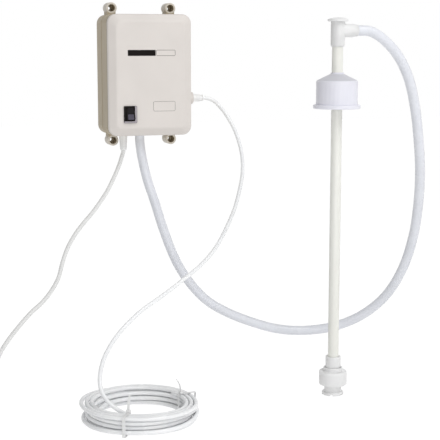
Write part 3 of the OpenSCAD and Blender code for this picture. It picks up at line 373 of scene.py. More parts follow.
def loft(rings: list[list[Vector]], joined_up: bool = False) -> bmesh.types.BMesh:
    """Skin a run of rings that have equal numbers of points.

    Args:
        rings: The rings in order, each a closed loop.
        joined_up: Whether the last ring meets the first; if not, both ends are filled.

    Returns:
        The skinned shape.
    """
    shape = bmesh.new()
    loops = [[shape.verts.new(p) for p in ring] for ring in rings]
    pairs = list(zip(loops, loops[1:])) + ([(loops[-1], loops[0])] if joined_up else [])
    for low, high in pairs:
        for k in range(len(low)):
            n = (k + 1) % len(low)
            shape.faces.new((low[k], low[n], high[n], high[k]))
    if not joined_up:
        shape.faces.new(list(reversed(loops[0])))
        shape.faces.new(loops[-1])
    return shape


def lathe(profile: Pairs, at: Point, way: Vector, sides: int = 48) -> bmesh.types.BMesh:
    """Turn a closed profile about an axis.

    Args:
        profile: Radius and height pairs, going round the section.
        at: Foot of the axis.
        way: Direction of the axis.
        sides: Steps round the axis.

    Returns:
        The turned shape.
    """
    turn = way.to_track_quat("Z", "Y").to_matrix()
    rings = []
    for k in range(sides):
        a = 2 * math.pi * k / sides
        rings.append([Vector(at) + turn @ Vector((r * math.cos(a), r * math.sin(a), z)) for r, z in profile])
    return loft(rings, joined_up=True)


def outline(wide: float, tall: float, corner: float, steps: int = 6) -> list[Pair]:
    """Give the points of a rounded rectangle about the origin.

    Args:
        wide: Full width.
        tall: Full height.
        corner: Corner radius.
        steps: Segments in a corner.

    Returns:
        Points in order round it.
    """
    points = []
    for quarter, (sx, sz) in enumerate(((1, 1), (-1, 1), (-1, -1), (1, -1))):
        for k in range(steps + 1):
            a = math.pi / 2 * (quarter + k / steps)
            points.append((
                sx * (wide / 2 - corner) + corner * math.cos(a),
                sz * (tall / 2 - corner) + corner * math.sin(a),
            ))
    return points


def draw(name: str, points: list[Vector], radius: float, capped: bool) -> bpy.types.Object:
    """Draw a round cord along points.

    Args:
        name: The piece's name.
        points: Centre line in millimetres.
        radius: Radius in millimetres.
        capped: Whether its ends are closed.

    Returns:
        The curve object.
    """
    data = bpy.data.curves.new(name, "CURVE")
    data.dimensions = "3D"
    data.bevel_depth = radius * MM
    data.bevel_resolution = CORD_ROUNDNESS
    data.use_fill_caps = capped
    line = data.splines.new("POLY")
    line.points.add(len(points) - 1)
    for spot, p in zip(line.points, points):
        spot.co = (p.x * MM, p.y * MM, p.z * MM, 1.0)
    line.use_smooth = True
    piece = bpy.data.objects.new(name, data)
    bpy.context.collection.objects.link(piece)
    return piece


def dress(finish: Finish, *nodes: str) -> None:
    """Give CAD nodes a finish.

    Args:
        finish: The surface.
        nodes: Names of the nodes.
    """
    for name in nodes:
        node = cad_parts[name]
        node.data.materials.clear()
        node.data.materials.append(finish.material())
        LOG.info("dressed %s with %s", name, finish.name)


def soften(width_mm: float, *nodes: str) -> None:
    """Ease the edges of CAD nodes so that they catch the light.

    Args:
        width_mm: Width of the eased edge.
        nodes: Names of the nodes.
    """
    for name in nodes:
        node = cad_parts[name]
        weld = node.modifiers.new("weld", "WELD")
        weld.merge_threshold = WELD_M
        ease = node.modifiers.new("ease", "BEVEL")
        ease.width = width_mm * MM
        ease.segments = EASE_STEPS
        ease.limit_method = "ANGLE"
        ease.angle_limit = math.radians(EASE_FROM_DEG)
        ease.harden_normals = True


def eased(points: list[Point], steps: int) -> list[Vector]:
    """Pass one smooth curve through chosen points.

    Args:
        points: The chosen points.
        steps: Pieces between two of them.

    Returns:
        Points along the curve, the chosen ones among them.
    """
    p = [Vector(q) for q in points]
    p = [2 * p[0] - p[1]] + p + [2 * p[-1] - p[-2]]
    run = []
    for a, b, c, d in zip(p, p[1:], p[2:], p[3:]):
        ta, tb, tc = (math.sqrt((y - x).length) for x, y in ((a, b), (b, c), (c, d)))
        m1 = (c - b) + tb * ((b - a) / ta - (c - a) / (ta + tb))
        m2 = (c - b) + tb * ((d - c) / tc - (d - b) / (tb + tc))
        for k in range(steps):
            s = k / steps
            run.append(
                (2 * s**3 - 3 * s**2 + 1) * b + (s**3 - 2 * s**2 + s) * m1
                + (3 * s**2 - 2 * s**3) * c + (s**3 - s**2) * m2
            )
    return run + [p[-2]]


@dataclass(frozen=True)
class Lamp:
    """A square soft lamp."""

    name: str
    at: Point
    aim: Point
    side_m: float
    watts: float

    def hang(self) -> None:
        """Put the lamp in its place, facing its aim."""
        data = bpy.data.lights.new(self.name, "AREA")
        data.size = self.side_m
        data.energy = self.watts
        lamp = bpy.data.objects.new(self.name, data)
        lamp.location = Vector(self.at) * MM
        lamp.rotation_euler = (Vector(self.at) - Vector(self.aim)).to_track_quat("Z", "Y").to_euler()
        bpy.context.collection.objects.link(lamp)


@dataclass
class Studio:
    """Floor, background, light and the camera that took the picture."""

    camera_at: Point = (-498.0, -1990.0, 51.0)
    pitch_deg: float = 8.483
    yaw_deg: float = 18.0
    lens_mm: float = 96.5
    sensor_mm: float = 36.0
    sight_m: float = 50.0
    key: Lamp = Lamp("key_light", (750.0, -1350.0, 1450.0), (0.0, -200.0, -150.0), 1.2, 17.5)
    fill: Lamp = Lamp("fill_light", (-60.0, -1700.0, -350.0), (0.0, -200.0, -200.0), 1.0, 7.5)
    world_light: float = 0.43
    floor_m: float = 12.0
    floor_drop_m: float = 0.0005
    floor_tone: float = 0.9
    floor_rough: float = 0.9
    floor_glow: float = 1.21
    floor_shown: float = 0.75  # share of the glow where the floor is seen
    floor_back: float = 0.25  # share of the glow that lights the object

    def build(self) -> None:
        """Set up the whole studio."""
        bpy.context.scene.view_settings.view_transform = "Standard"
        self._camera()
        self._floor()
        self._world()
        self.key.hang()
        self.fill.hang()

    def _camera(self) -> None:
        """Place the camera."""
        data = bpy.data.cameras.new("camera")
        data.lens = self.lens_mm
        data.sensor_width = self.sensor_mm
        data.clip_end = self.sight_m
        eye = bpy.data.objects.new("camera", data)
        eye.location = Vector(self.camera_at) * MM
        eye.rotation_euler = (math.radians(90 - self.pitch_deg), 0.0, math.radians(-self.yaw_deg))
        bpy.context.collection.objects.link(eye)
        bpy.context.scene.camera = eye

    def _floor(self) -> None:
        """Lay a pale floor that shows white and keeps a faint shadow."""
        bpy.ops.mesh.primitive_plane_add(
            size=self.floor_m, location=(0.0, 0.0, FLOOR_Z * MM - self.floor_drop_m)
        )
        floor = bpy.context.object
        floor.name = "studio_floor"
        paint = bpy.data.materials.new("studio_floor_paint")
        paint.use_nodes = True
        tree = paint.node_tree
        shader = tree.nodes["Principled BSDF"]
        shader.inputs["Base Color"].default_value = (self.floor_tone, self.floor_tone, self.floor_tone, 1.0)
        shader.inputs["Roughness"].default_value = self.floor_rough
        glow = tree.nodes.new("ShaderNodeEmission")
        glow.inputs["Color"].default_value = WHITE
        glow.inputs["Strength"].default_value = self.floor_glow
        mix = tree.nodes.new("ShaderNodeMixShader")
        tree.links.new(self._seen(tree, self.floor_shown, self.floor_back), mix.inputs["Fac"])
        tree.links.new(shader.outputs["BSDF"], mix.inputs[1])
        tree.links.new(glow.outputs["Emission"], mix.inputs[2])
        tree.links.new(mix.outputs["Shader"], tree.nodes["Material Output"].inputs["Surface"])
        floor.data.materials.append(paint)

    def _seen(self, tree: bpy.types.NodeTree, share: float, least: float = 0.0) -> bpy.types.NodeSocket:
        """Give a factor for rays that show the background, straight or in gloss and glass.

        Args:
            tree: The node tree to add to.
            share: The factor on those rays.
            least: The factor on all other rays.

        Returns:
            The socket that carries it.
        """
        path = tree.nodes.new("ShaderNodeLightPath")
        factor = path.outputs["Is Camera Ray"]
        steps = (
            ("MAXIMUM", path.outputs["Is Glossy Ray"]),
            ("MAXIMUM", path.outputs["Is Transmission Ray"]),
            ("MULTIPLY", share),
            ("MAXIMUM", least),
        )
        for operation, other in steps:
            node = tree.nodes.new("ShaderNodeMath")
            node.operation = operation
            tree.links.new(factor, node.inputs[0])
            if isinstance(other, float):
                node.inputs[1].default_value = other
            else:
                tree.links.new(other, node.inputs[1])
            factor = node.outputs["Value"]
        return factor

    def _world(self) -> None:
        """Light evenly from all round, and show white behind."""
        world = bpy.data.worlds.new("studio_world")
        world.use_nodes = True
        bpy.context.scene.world = world
        tree = world.node_tree
        back = tree.nodes["Background"]
        back.inputs["Color"].default_value = WHITE
        back.inputs["Strength"].default_value = self.world_light
        white = tree.nodes.new("ShaderNodeBackground")
        white.inputs["Color"].default_value = WHITE
        white.inputs["Strength"].default_value = 1.0
        mix = tree.nodes.new("ShaderNodeMixShader")
        tree.links.new(self._seen(tree, 1.0), mix.inputs["Fac"])
        tree.links.new(back.outputs["Background"], mix.inputs[1])
        tree.links.new(white.outputs["Background"], mix.inputs[2])
        tree.links.new(mix.outputs["Shader"], tree.nodes["World Output"].inputs["Surface"])


@dataclass
class Coil:
    """Stacked spirals of a cord, wound up from the floor."""

    centre: Point
    turns: float
    layers: int
    from_r: float
    to_r: float
    start_deg: float
    way: int
    pitch: float
    entry: float = 0.0
    wander: float = 0.0
    entry_curve: float = 180.0
    rings: int = 24
    wander_start_deg: float = 25.0
    wander_turn_deg: float = 160.0
    tie_angles: Pair = (240.0, 8.0)

    def point(self, t: float) -> Vector:
        """Give the place at t turns along the coil.

        Args:
            t: Turns from the first layer's start; below 0 the run curves in from inside.

        Returns:
            The point in millimetres.
        """
        k = math.floor(t / self.turns)
        share = t / self.turns - k
        share = t / self.turns if t < 0 else share if k % 2 == 0 else 1 - share
        inward = self.entry_curve * t * t if t < 0 else 0.0
        r = self.from_r + (self.to_r - self.from_r) * share - inward
        angle = self.start_deg + self.way * 360 * t
        layer = self._climb(t)
        swing = math.sin(math.radians(self.wander_turn_deg * layer + self.wander_start_deg))
        r += self.wander * self._slack(angle) * swing
        a = math.radians(angle)
        return Vector(self.centre) + Vector((r * math.cos(a), r * math.sin(a), self.pitch * layer))

    def _slack(self, angle_deg: float) -> float:
        """Say how free the loops are at an angle.

        Args:
            angle_deg: Angle round the coil.

        Returns:
            0 at a tie, rising to 1 halfway between two ties.
        """
        first = self.tie_angles[0] - self.tie_angles[1]
        b = (angle_deg - self.tie_angles[1]) % 360
        return math.sin(math.pi * (b / first if b < first else (b - first) / (360 - first))) ** 2

    def _climb(self, t: float) -> float:
        """Give the layer at t turns, eased where it steps up.

        Args:
            t: Turns from the first layer's start.

        Returns:
            The layer, counted from 0.
        """
        k = math.floor(t / self.turns + 0.5)
        u = (t - k * self.turns) * 2
        if k < 1 or k > self.layers - 1:
            return min(max(math.floor(t / self.turns), 0), self.layers - 1)
        return k - 0.5 + (math.sin(u * math.pi) / 2 if abs(u) < 0.5 else math.copysign(0.5, u))

    def points(self) -> list[Vector]:
        """Give points along the whole coil.

        Returns:
            The points in order.
        """
        total = self.turns * self.layers + self.entry
        steps = math.ceil(total * self.rings)
        return [self.point(total * i / steps - self.entry) for i in range(steps + 1)]


@dataclass
class CableTie:
    """The head and loose tail of a strap round a coil."""

    coil: Coil
    cord_r: float
    angle_deg: float
    tail: float = 24.0
    width: float = 5.0
    clear: float = 0.3
    over: float = 1.1
    head_in: float = 3.5
    head_long: float = 5.4
    head_wider: float = 1.6
    head_corner: float = 0.9
    head_rings: Pairs = ((0.0, -0.5), (0.5, 0.0), (3.2, 0.0), (3.9, -0.7))  # height, growth
    tail_foot: float = 3.0
    tail_steps: int = 12
    tail_lean: Pair = (1.0, 7.0)  # even, growing towards the tip
    tail_droop: float = 3.0
    tail_thick: float = 0.55
    tail_thinning: float = 0.25
    tail_half: float = 0.36
    tip_from: float = 0.8
    tip_less: float = 0.12

    def build(self, name: str, finish: Finish, slot: str) -> list[bpy.types.Object]:
        """Make the head and the tail.

        Args:
            name: Start of the pieces' names.
            finish: Their surface.
            slot: Not used.

        Returns:
            The two pieces.
        """
        a = math.radians(self.angle_deg)
        out = Vector((math.cos(a), math.sin(a), 0.0))
        along = Vector((-math.sin(a), math.cos(a), 0.0))
        inner = min(self.coil.from_r, self.coil.to_r) - self.cord_r - self.clear
        top = (self.coil.layers - 1) * self.coil.pitch + self.cord_r + self.over
        seat = Vector(self.coil.centre) + out * (inner + self.head_in) + UP * top
        rings = []
        for z, grow in self.head_rings:
            wide, tall = self.head_long + 2 * grow, self.width + self.head_wider + 2 * grow
            loop = outline(wide, tall, self.head_corner, steps=3)
            rings.append([seat + UP * z + out * x + along * y for x, y in loop])
        head = add(f"{name}_head", loft(rings), finish)
        rings = []
        for k in range(self.tail_steps + 1):
            s = k / self.tail_steps
            rise = self.tail_foot + self.tail * s - self.tail_droop * s * s
            spot = seat + UP * rise - out * (self.tail_lean[0] * s + self.tail_lean[1] * s * s)
            thick = self.tail_thick - self.tail_thinning * s
            tip = max(s - self.tip_from, 0.0) / (1 - self.tip_from)
            half = self.width * (self.tail_half - self.tip_less * tip)
            rings.append([
                spot + out * x * thick + along * y * half for x, y in ((-1, -1), (1, -1), (1, 1), (-1, 1))
            ])
        return [head, add(f"{name}_tail", loft(rings), finish)]


@dataclass
class Case:
    """The wall case: rear shell, front cover, a painted shadow band along the seam, side bead and the plain
    printed strip.
    """

    wide: float = 142.0
    tall: float = 200.0
    corner: float = 15.0
    edge: float = 0.8
    seam_depth: float = 74.8
    seam_wide: float = 4.4
    seam_proud: float = 0.08
    bead_depth: float = 36.0
    bead_wide: float = 1.6
    bead_proud: float = 0.6
    band_sunk: float = 0.4
    front_depth: float = 90.0
    print_sunk: float = 0.05
    print_proud: float = 0.12
    bar_x: Pair = (-39.3, 7.8)
    bar_corner: float = 0.8
    strip_z: Pair = (31.8, 41.5)
    bar_end_x: Pair = (8.6, 41.6)
    plate_x: Pair = (3.3, 41.0)
    plate_z: Pair = (-59.3, -43.0)
    outline_corner: float = 2.2
    strip_line: float = 1.3
    plate_line: float = 0.9
    ear_at: Pair = (51.0, 111.0)
    ear_depth: float = 26.0
    ear_skin: Pairs = (
        (6.1, -0.2), (6.1, 0.1), (6.5, 0.35), (8.4, 0.35), (9.1, 0.0), (9.3, -0.8), (9.3, -25.0),
        (8.7, -25.0), (8.7, -0.2),
    )

    def build(self) -> None:
        """Dress the shells, lay the painted seam shadow and add what is printed and moulded on them."""
        # The rear shell and its bead carry the beige plastic darkened with painted shade.
        dress(CASE_SHELL_PAINTED_SHADE, "rear_case")
        dress(COVER_SHELL, "front_cover")
        dress(BLACK_RUBBER, "case_seal")
        dress(BRIGHT_STEEL, "case_screws")
        soften(self.edge, "rear_case")
        # A band of painted shadow along the seam between cover and rear shell.
        self._band("case_seam_painted_shadow", self.seam_depth, self.seam_wide, self.seam_proud, SEAM_PAINTED_SHADOW)
        self._band("case_bead", self.bead_depth, self.bead_wide, self.bead_proud, CASE_SHELL_PAINTED_SHADE)
        bar = self._sheet(self.bar_x, self.strip_z, 0.0, self.bar_corner)
        add("strip_bar", loft(bar), STRIP_BLACK)
        self._printed_frame("strip_frame", self.bar_end_x, self.strip_z, self.strip_line)
        self._printed_frame("plate_frame", self.plate_x, self.plate_z, self.plate_line)
        for x in (-1, 1):
            for z in (-1, 1):
                self._ear_skin(x * self.ear_at[0], z * self.ear_at[1])

    def _band(self, name: str, depth: float, width: float, proud: float, finish: Finish) -> None:
        """Run a thin band round the sides at a depth.

        Args:
            name: The piece's name.
            depth: Its middle, forward of the wall.
            width: Its width.
            proud: How far it stands out.
            finish: Its surface.
        """
        rings = []
        for grow, y in ((-self.band_sunk, -1.0), (proud, -0.5), (proud, 0.5), (-self.band_sunk, 1.0)):
            loop = outline(self.wide + 2 * grow, self.tall + 2 * grow, self.corner + grow, steps=12)
            rings.append([Vector((x, -depth + y * width / 2, z)) for x, z in loop])
        add(name, loft(rings, joined_up=True), finish)

    def _printed_frame(self, name: str, x: Pair, z: Pair, line: float) -> None:
        """Lay a thin printed outline on the cover.

        Args:
            name: The piece's name.
            x: Its left and right edges.
            z: Its lower and upper edges.
            line: Twice the width of its line.
        """
        outer = self._sheet(x, z, 0.0, self.outline_corner)
        inner = self._sheet(x, z, line, self.outline_corner - line / 2)
        rings = [outer[0], outer[1], inner[1], inner[0]]
        add(name, loft(rings, joined_up=True), STRIP_LINE)

    def _sheet(self, x: Pair, z: Pair, less: float, corner: float) -> list[list[Vector]]:
        """Give the back and front loops of a thin printed sheet on the cover.

        Args:
            x: Its left and right edges.
            z: Its lower and upper edges.
            less: How much narrower and lower it is than those edges.
            corner: Corner radius.

        Returns:
            The two loops.
        """
        loop = outline(x[1] - x[0] - less, z[1] - z[0] - less, corner)
        return [
            [Vector((sum(x) / 2 + u, -self.front_depth + y, sum(z) / 2 + v)) for u, v in loop]
            for y in (self.print_sunk, -self.print_proud)
        ]

    def _ear_skin(self, x: float, z: float) -> None:
        """Sleeve a fixing ear in its pale moulded skin.

        Args:
            x: Place of the ear across the case.
            z: Place of the ear up the case.
        """
        name = f"ear_skin_{'left' if x < 0 else 'right'}_{'low' if z < 0 else 'high'}"
        add(name, lathe(self.ear_skin, (x, -self.ear_depth, z), OUT), EAR_SHELL)


@dataclass
class Switch:
    """The rocker switch on the cover."""

    at: Point = (-36.0, -90.0, -64.0)
    bezel_wide: float = 22.0
    bezel_tall: float = 28.0
    bezel_out: float = 2.0
    bezel_edge: float = 0.5
    # Place and size of the strip of painted glint on the bezel.
    strip_inset: float = 0.3
    strip_cut: float = 1.0
    strip_side: float = 3.2
    strip_foot: float = 2.7
    strip_out: Pair = (-0.1, 0.2)
    pivot_depth: float = 88.5
    rocker_turn_deg: float = 12.0
    rocker_reach: float = 10.25
    rocker_edge: float = 0.6
    valley_out: float = 4.4
    end_out: float = 6.2
    face_wide: float = 10.0
    face_share: float = 0.9
    face_corner: float = 1.0
    corner_fall: float = 0.3
    # Each ring's shrink and rise
    face_rings: Pairs = ((0.0, -0.1), (0.0, 0.1), (0.5, 0.3), (1.2, 0.25), (2.2, 0.08))

    def build(self) -> None:
        """Dress the switch, lay the painted glint on its bezel and dish its rocker, its lower face painted
        with a sheen.
        """
        dress(SWITCH_BLACK, "switch_housing", "switch_rocker")
        dress(CONTACT_BRASS, "switch_terminals")
        soften(self.bezel_edge, "switch_housing")
        soften(self.rocker_edge, "switch_rocker")
        self._strip()
        self._face("rocker_face_high", 1, ROCKER_BLACK)
        # The lower face is painted lighter: a painted reflection of the light above on the half that tilts
        # up.
        self._face("rocker_face_low_painted_sheen", -1, ROCKER_PAINTED_SHEEN)

    def _strip(self) -> None:
        """Lay a pale strip of painted glint along the right side and the foot of the bezel, where its glossy
        black edge catches the light.
        """
        x, y, z = self.at
        across, up = self.bezel_wide / 2 - self.strip_inset, self.bezel_tall / 2 - self.strip_inset
        left, right, low, top = x - across, x + across, z - up, z + up
        inner, foot, cut = right - self.strip_side, low + self.strip_foot, self.strip_cut
        bend = [
            (right - cut, low), (right, low + cut), (right, top - cut), (right - cut, top),
            (inner, top), (inner, foot), (left, foot), (left, low),
        ]
        rings = [[Vector((u, y - self.bezel_out - out, v)) for u, v in bend] for out in self.strip_out]
        # The strip carries painted glint.
        add("switch_painted_glint", loft(rings), BEZEL_PAINTED_GLINT)

    def _face(self, name: str, half: int, finish: Finish) -> None:
        """Lay the dished face on one half of the rocker.

        Args:
            name: The piece's name.
            half: 1 for the upper half, -1 for the lower one.
            finish: Its surface.
        """
        pivot = Vector((self.at[0], -self.pivot_depth, self.at[2]))
        turn = Matrix.Rotation(math.radians(-self.rocker_turn_deg), 3, "X")
        run = Vector((0.0, self.valley_out - self.end_out, half * self.rocker_reach))
        along = run.normalized()
        out = Vector((0.0, -along.z * half, along.y * half))
        middle = OUT * self.valley_out + run * 0.5
        rings = []
        for shrink, rise in self.face_rings:
            tall = run.length * self.face_share - 2 * shrink
            corner = self.face_corner - shrink * self.corner_fall
            loop = outline(self.face_wide - 2 * shrink, tall, corner, steps=4)
            rings.append([pivot + turn @ (middle + RIGHT * u + along * v + out * rise) for u, v in loop])
        add(name, loft(rings), finish, body="rocker")


@dataclass
class Inside:
    """Everything sealed in the case."""

    finishes: dict[Finish, tuple[str, ...]] = field(default_factory=lambda: {
        CAN_STEEL: ("motor_can", "pump_bracket", "transformer"),
        BRIGHT_STEEL: ("foot_screws", "head_screws", "motor_shaft", "wobble_hub"),
        BLACK_PLASTIC: ("motor_end_bell", "pressure_switch", "board_parts"),
        GREY_PLASTIC: ("drive_housing", "head_cover", "suction_sleeve", "delivery_sleeve"),
        PALE_PLASTIC: ("wobble_plate", "valve_plate"),
        BLACK_RUBBER: ("pump_feet", "diaphragm", "pump_valves", "outlet_seal"),
        FERRITE_GREY: ("motor_magnets", "motor_brushes"),
        BRONZE_BUSH: ("front_bearing",),
        COPPER_CORE: ("motor_armature", "motor_commutator"),
        BOARD_GREEN: ("control_board",),
        WIRE_RED: ("wiring",),
        WHITE_MOULD: ("inlet_spigot", "outlet_nut"),
    })

    def build(self) -> None:
        """Dress each inner node."""
        for finish, nodes in self.finishes.items():
            dress(finish, *nodes)


@dataclass
class DeliveryTube:
    """Thin tube from the side fitting down to its coil on the floor."""

    radius: float = 3.175
    pitch: float = 7.15
    wander: float = 8.0
    coil_r: float = 75.0
    turns: float = 2.775
    layers: int = 4
    start_deg: float = 352.0
    entry: float = 0.17
    coil_at: Point = (-87.0, -345.0, -495.725)
    run_steps: int = 4
    fitting_at: Point = (71.0, -48.0, -40.0)
    fitting_edge: float = 0.4
    boss_skin: Pairs = (
        (12.4, -0.3), (15.2, -0.3), (14.6, 0.7), (13.0, 4.0), (9.9, 11.7), (9.4, 12.15), (8.6, 12.15),
    )
    ribs: int = 14
    rib_foot: float = 5.5
    rib_section: Pairs = ((-1.0, 0.0), (-0.6, 0.75), (0.6, 0.75), (1.0, 0.0))  # share of half width, height
    rib_run: Pairs = ((15.6, 0.3), (16.2, 0.62), (23.4, 0.62), (24.0, 0.3))  # place, half width
    end_back: float = 6.0
    end_sides: int = 32
    end_wall: Pairs = ((2.2, 0.0), (3.155, 0.0), (3.195, 5.9), (2.2, 6.05))
    end_dark: Pairs = ((0.001, 2.0), (2.15, 2.0), (2.15, 2.4), (0.001, 2.4))
    route: list[Point] = field(default_factory=lambda: [
        (84.5, -48, -40), (95, -48, -40), (104.8, -48, -40), (120, -51, -45), (131, -59, -57),
        (140, -68, -72), (148, -80, -92), (152, -92, -112), (153, -106, -134), (149, -122, -160),
        (138, -140, -188), (122, -160, -218), (101, -181, -246), (75, -204, -274), (45, -226, -295),
        (14, -246, -310), (-16, -264, -324), (-45, -281, -336), (-71, -295, -347), (-93, -307, -360),
        (-111, -317, -373), (-126, -325, -388), (-138, -333, -404), (-146, -342, -421), (-150, -353, -439),
        (-147, -366, -454), (-138, -378, -465), (-125, -387, -474), (-110, -394, -483), (-92, -399.5, -491),
    ])

    def build(self) -> None:
        """Draw the tube, its cut end and its ties, and dress the side fitting."""
        half = self.turns * self.pitch / 2
        coil = Coil(
            self.coil_at, self.turns, self.layers, self.coil_r - half, self.coil_r + half,
            start_deg=self.start_deg, way=1, pitch=self.pitch, entry=self.entry, wander=self.wander,
        )
        loops = coil.points()
        lead_in = loops[0] - 2 * self.radius * (loops[1] - loops[0]).normalized()
        run = eased(self.route + [tuple(p) for p in [lead_in] + loops], self.run_steps)
        drawn = draw("delivery_tube_run", run, self.radius, capped=False)
        tube = keep(drawn, MILKY_TUBE, "frame")
        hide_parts("delivery_tube", "tube_coil")
        end = self._cut_end(run)
        ties = self._ties(coil)
        self._fitting()

    def _fitting(self) -> None:
        """Dress the side fitting, skin the boss it stands on and rib its grip."""
        # The side fitting and its ribs are painted paler white: painted light against the shade between its
        # ribs.
        dress(WHITE_MOULD_PAINTED_LIGHT, "outlet_fitting", "outlet_collet")
        soften(self.fitting_edge, "outlet_fitting", "outlet_collet")
        skin = lathe(self.boss_skin, self.fitting_at, RIGHT)
        add("outlet_boss_skin", skin, COVER_SHELL)
        for k in range(self.ribs):
            a = 2 * math.pi * k / self.ribs
            out, along = Vector((0, math.cos(a), math.sin(a))), Vector((0, -math.sin(a), math.cos(a)))
            foot = Vector(self.fitting_at) + out * self.rib_foot
            rings = [
                [foot + RIGHT * x + out * up + along * (side * half) for side, up in self.rib_section]
                for x, half in self.rib_run
            ]
            add(f"fitting_rib_{k}", loft(rings), WHITE_MOULD_PAINTED_LIGHT)

    def _cut_end(self, run: list[Vector]) -> list[bpy.types.Object]:
        """Make the wall of the tube at its cut end, and a disc of painted shade deep in its bore.

        Args:
            run: Centre line of the tube.

        Returns:
            The two pieces.
        """
        way = (run[-1] - run[-2]).normalized()
        foot = tuple(run[-1] - way * self.end_back)
        wall, dark = (lathe(part, foot, way, self.end_sides) for part in (self.end_wall, self.end_dark))
        return [
            add("tube_cut_end", wall, MILKY_TUBE),
            add("tube_bore_painted_shade", dark, BORE_PAINTED_SHADE),
        ]

    def _ties(self, coil: Coil) -> list[bpy.types.Object]:
        """Dress the straps and add their heads and tails.

        Args:
            coil: The coil that they hold.

        Returns:
            The straps, heads and tails.
        """
        dress(WHITE_MOULD, "tube_ties")
        pieces = [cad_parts["tube_ties"]]
        for k, angle in enumerate(coil.tie_angles):
            pieces += CableTie(coil, self.radius, angle).build(f"tube_tie_{k}", WHITE_MOULD, "white_plastic")
        return pieces


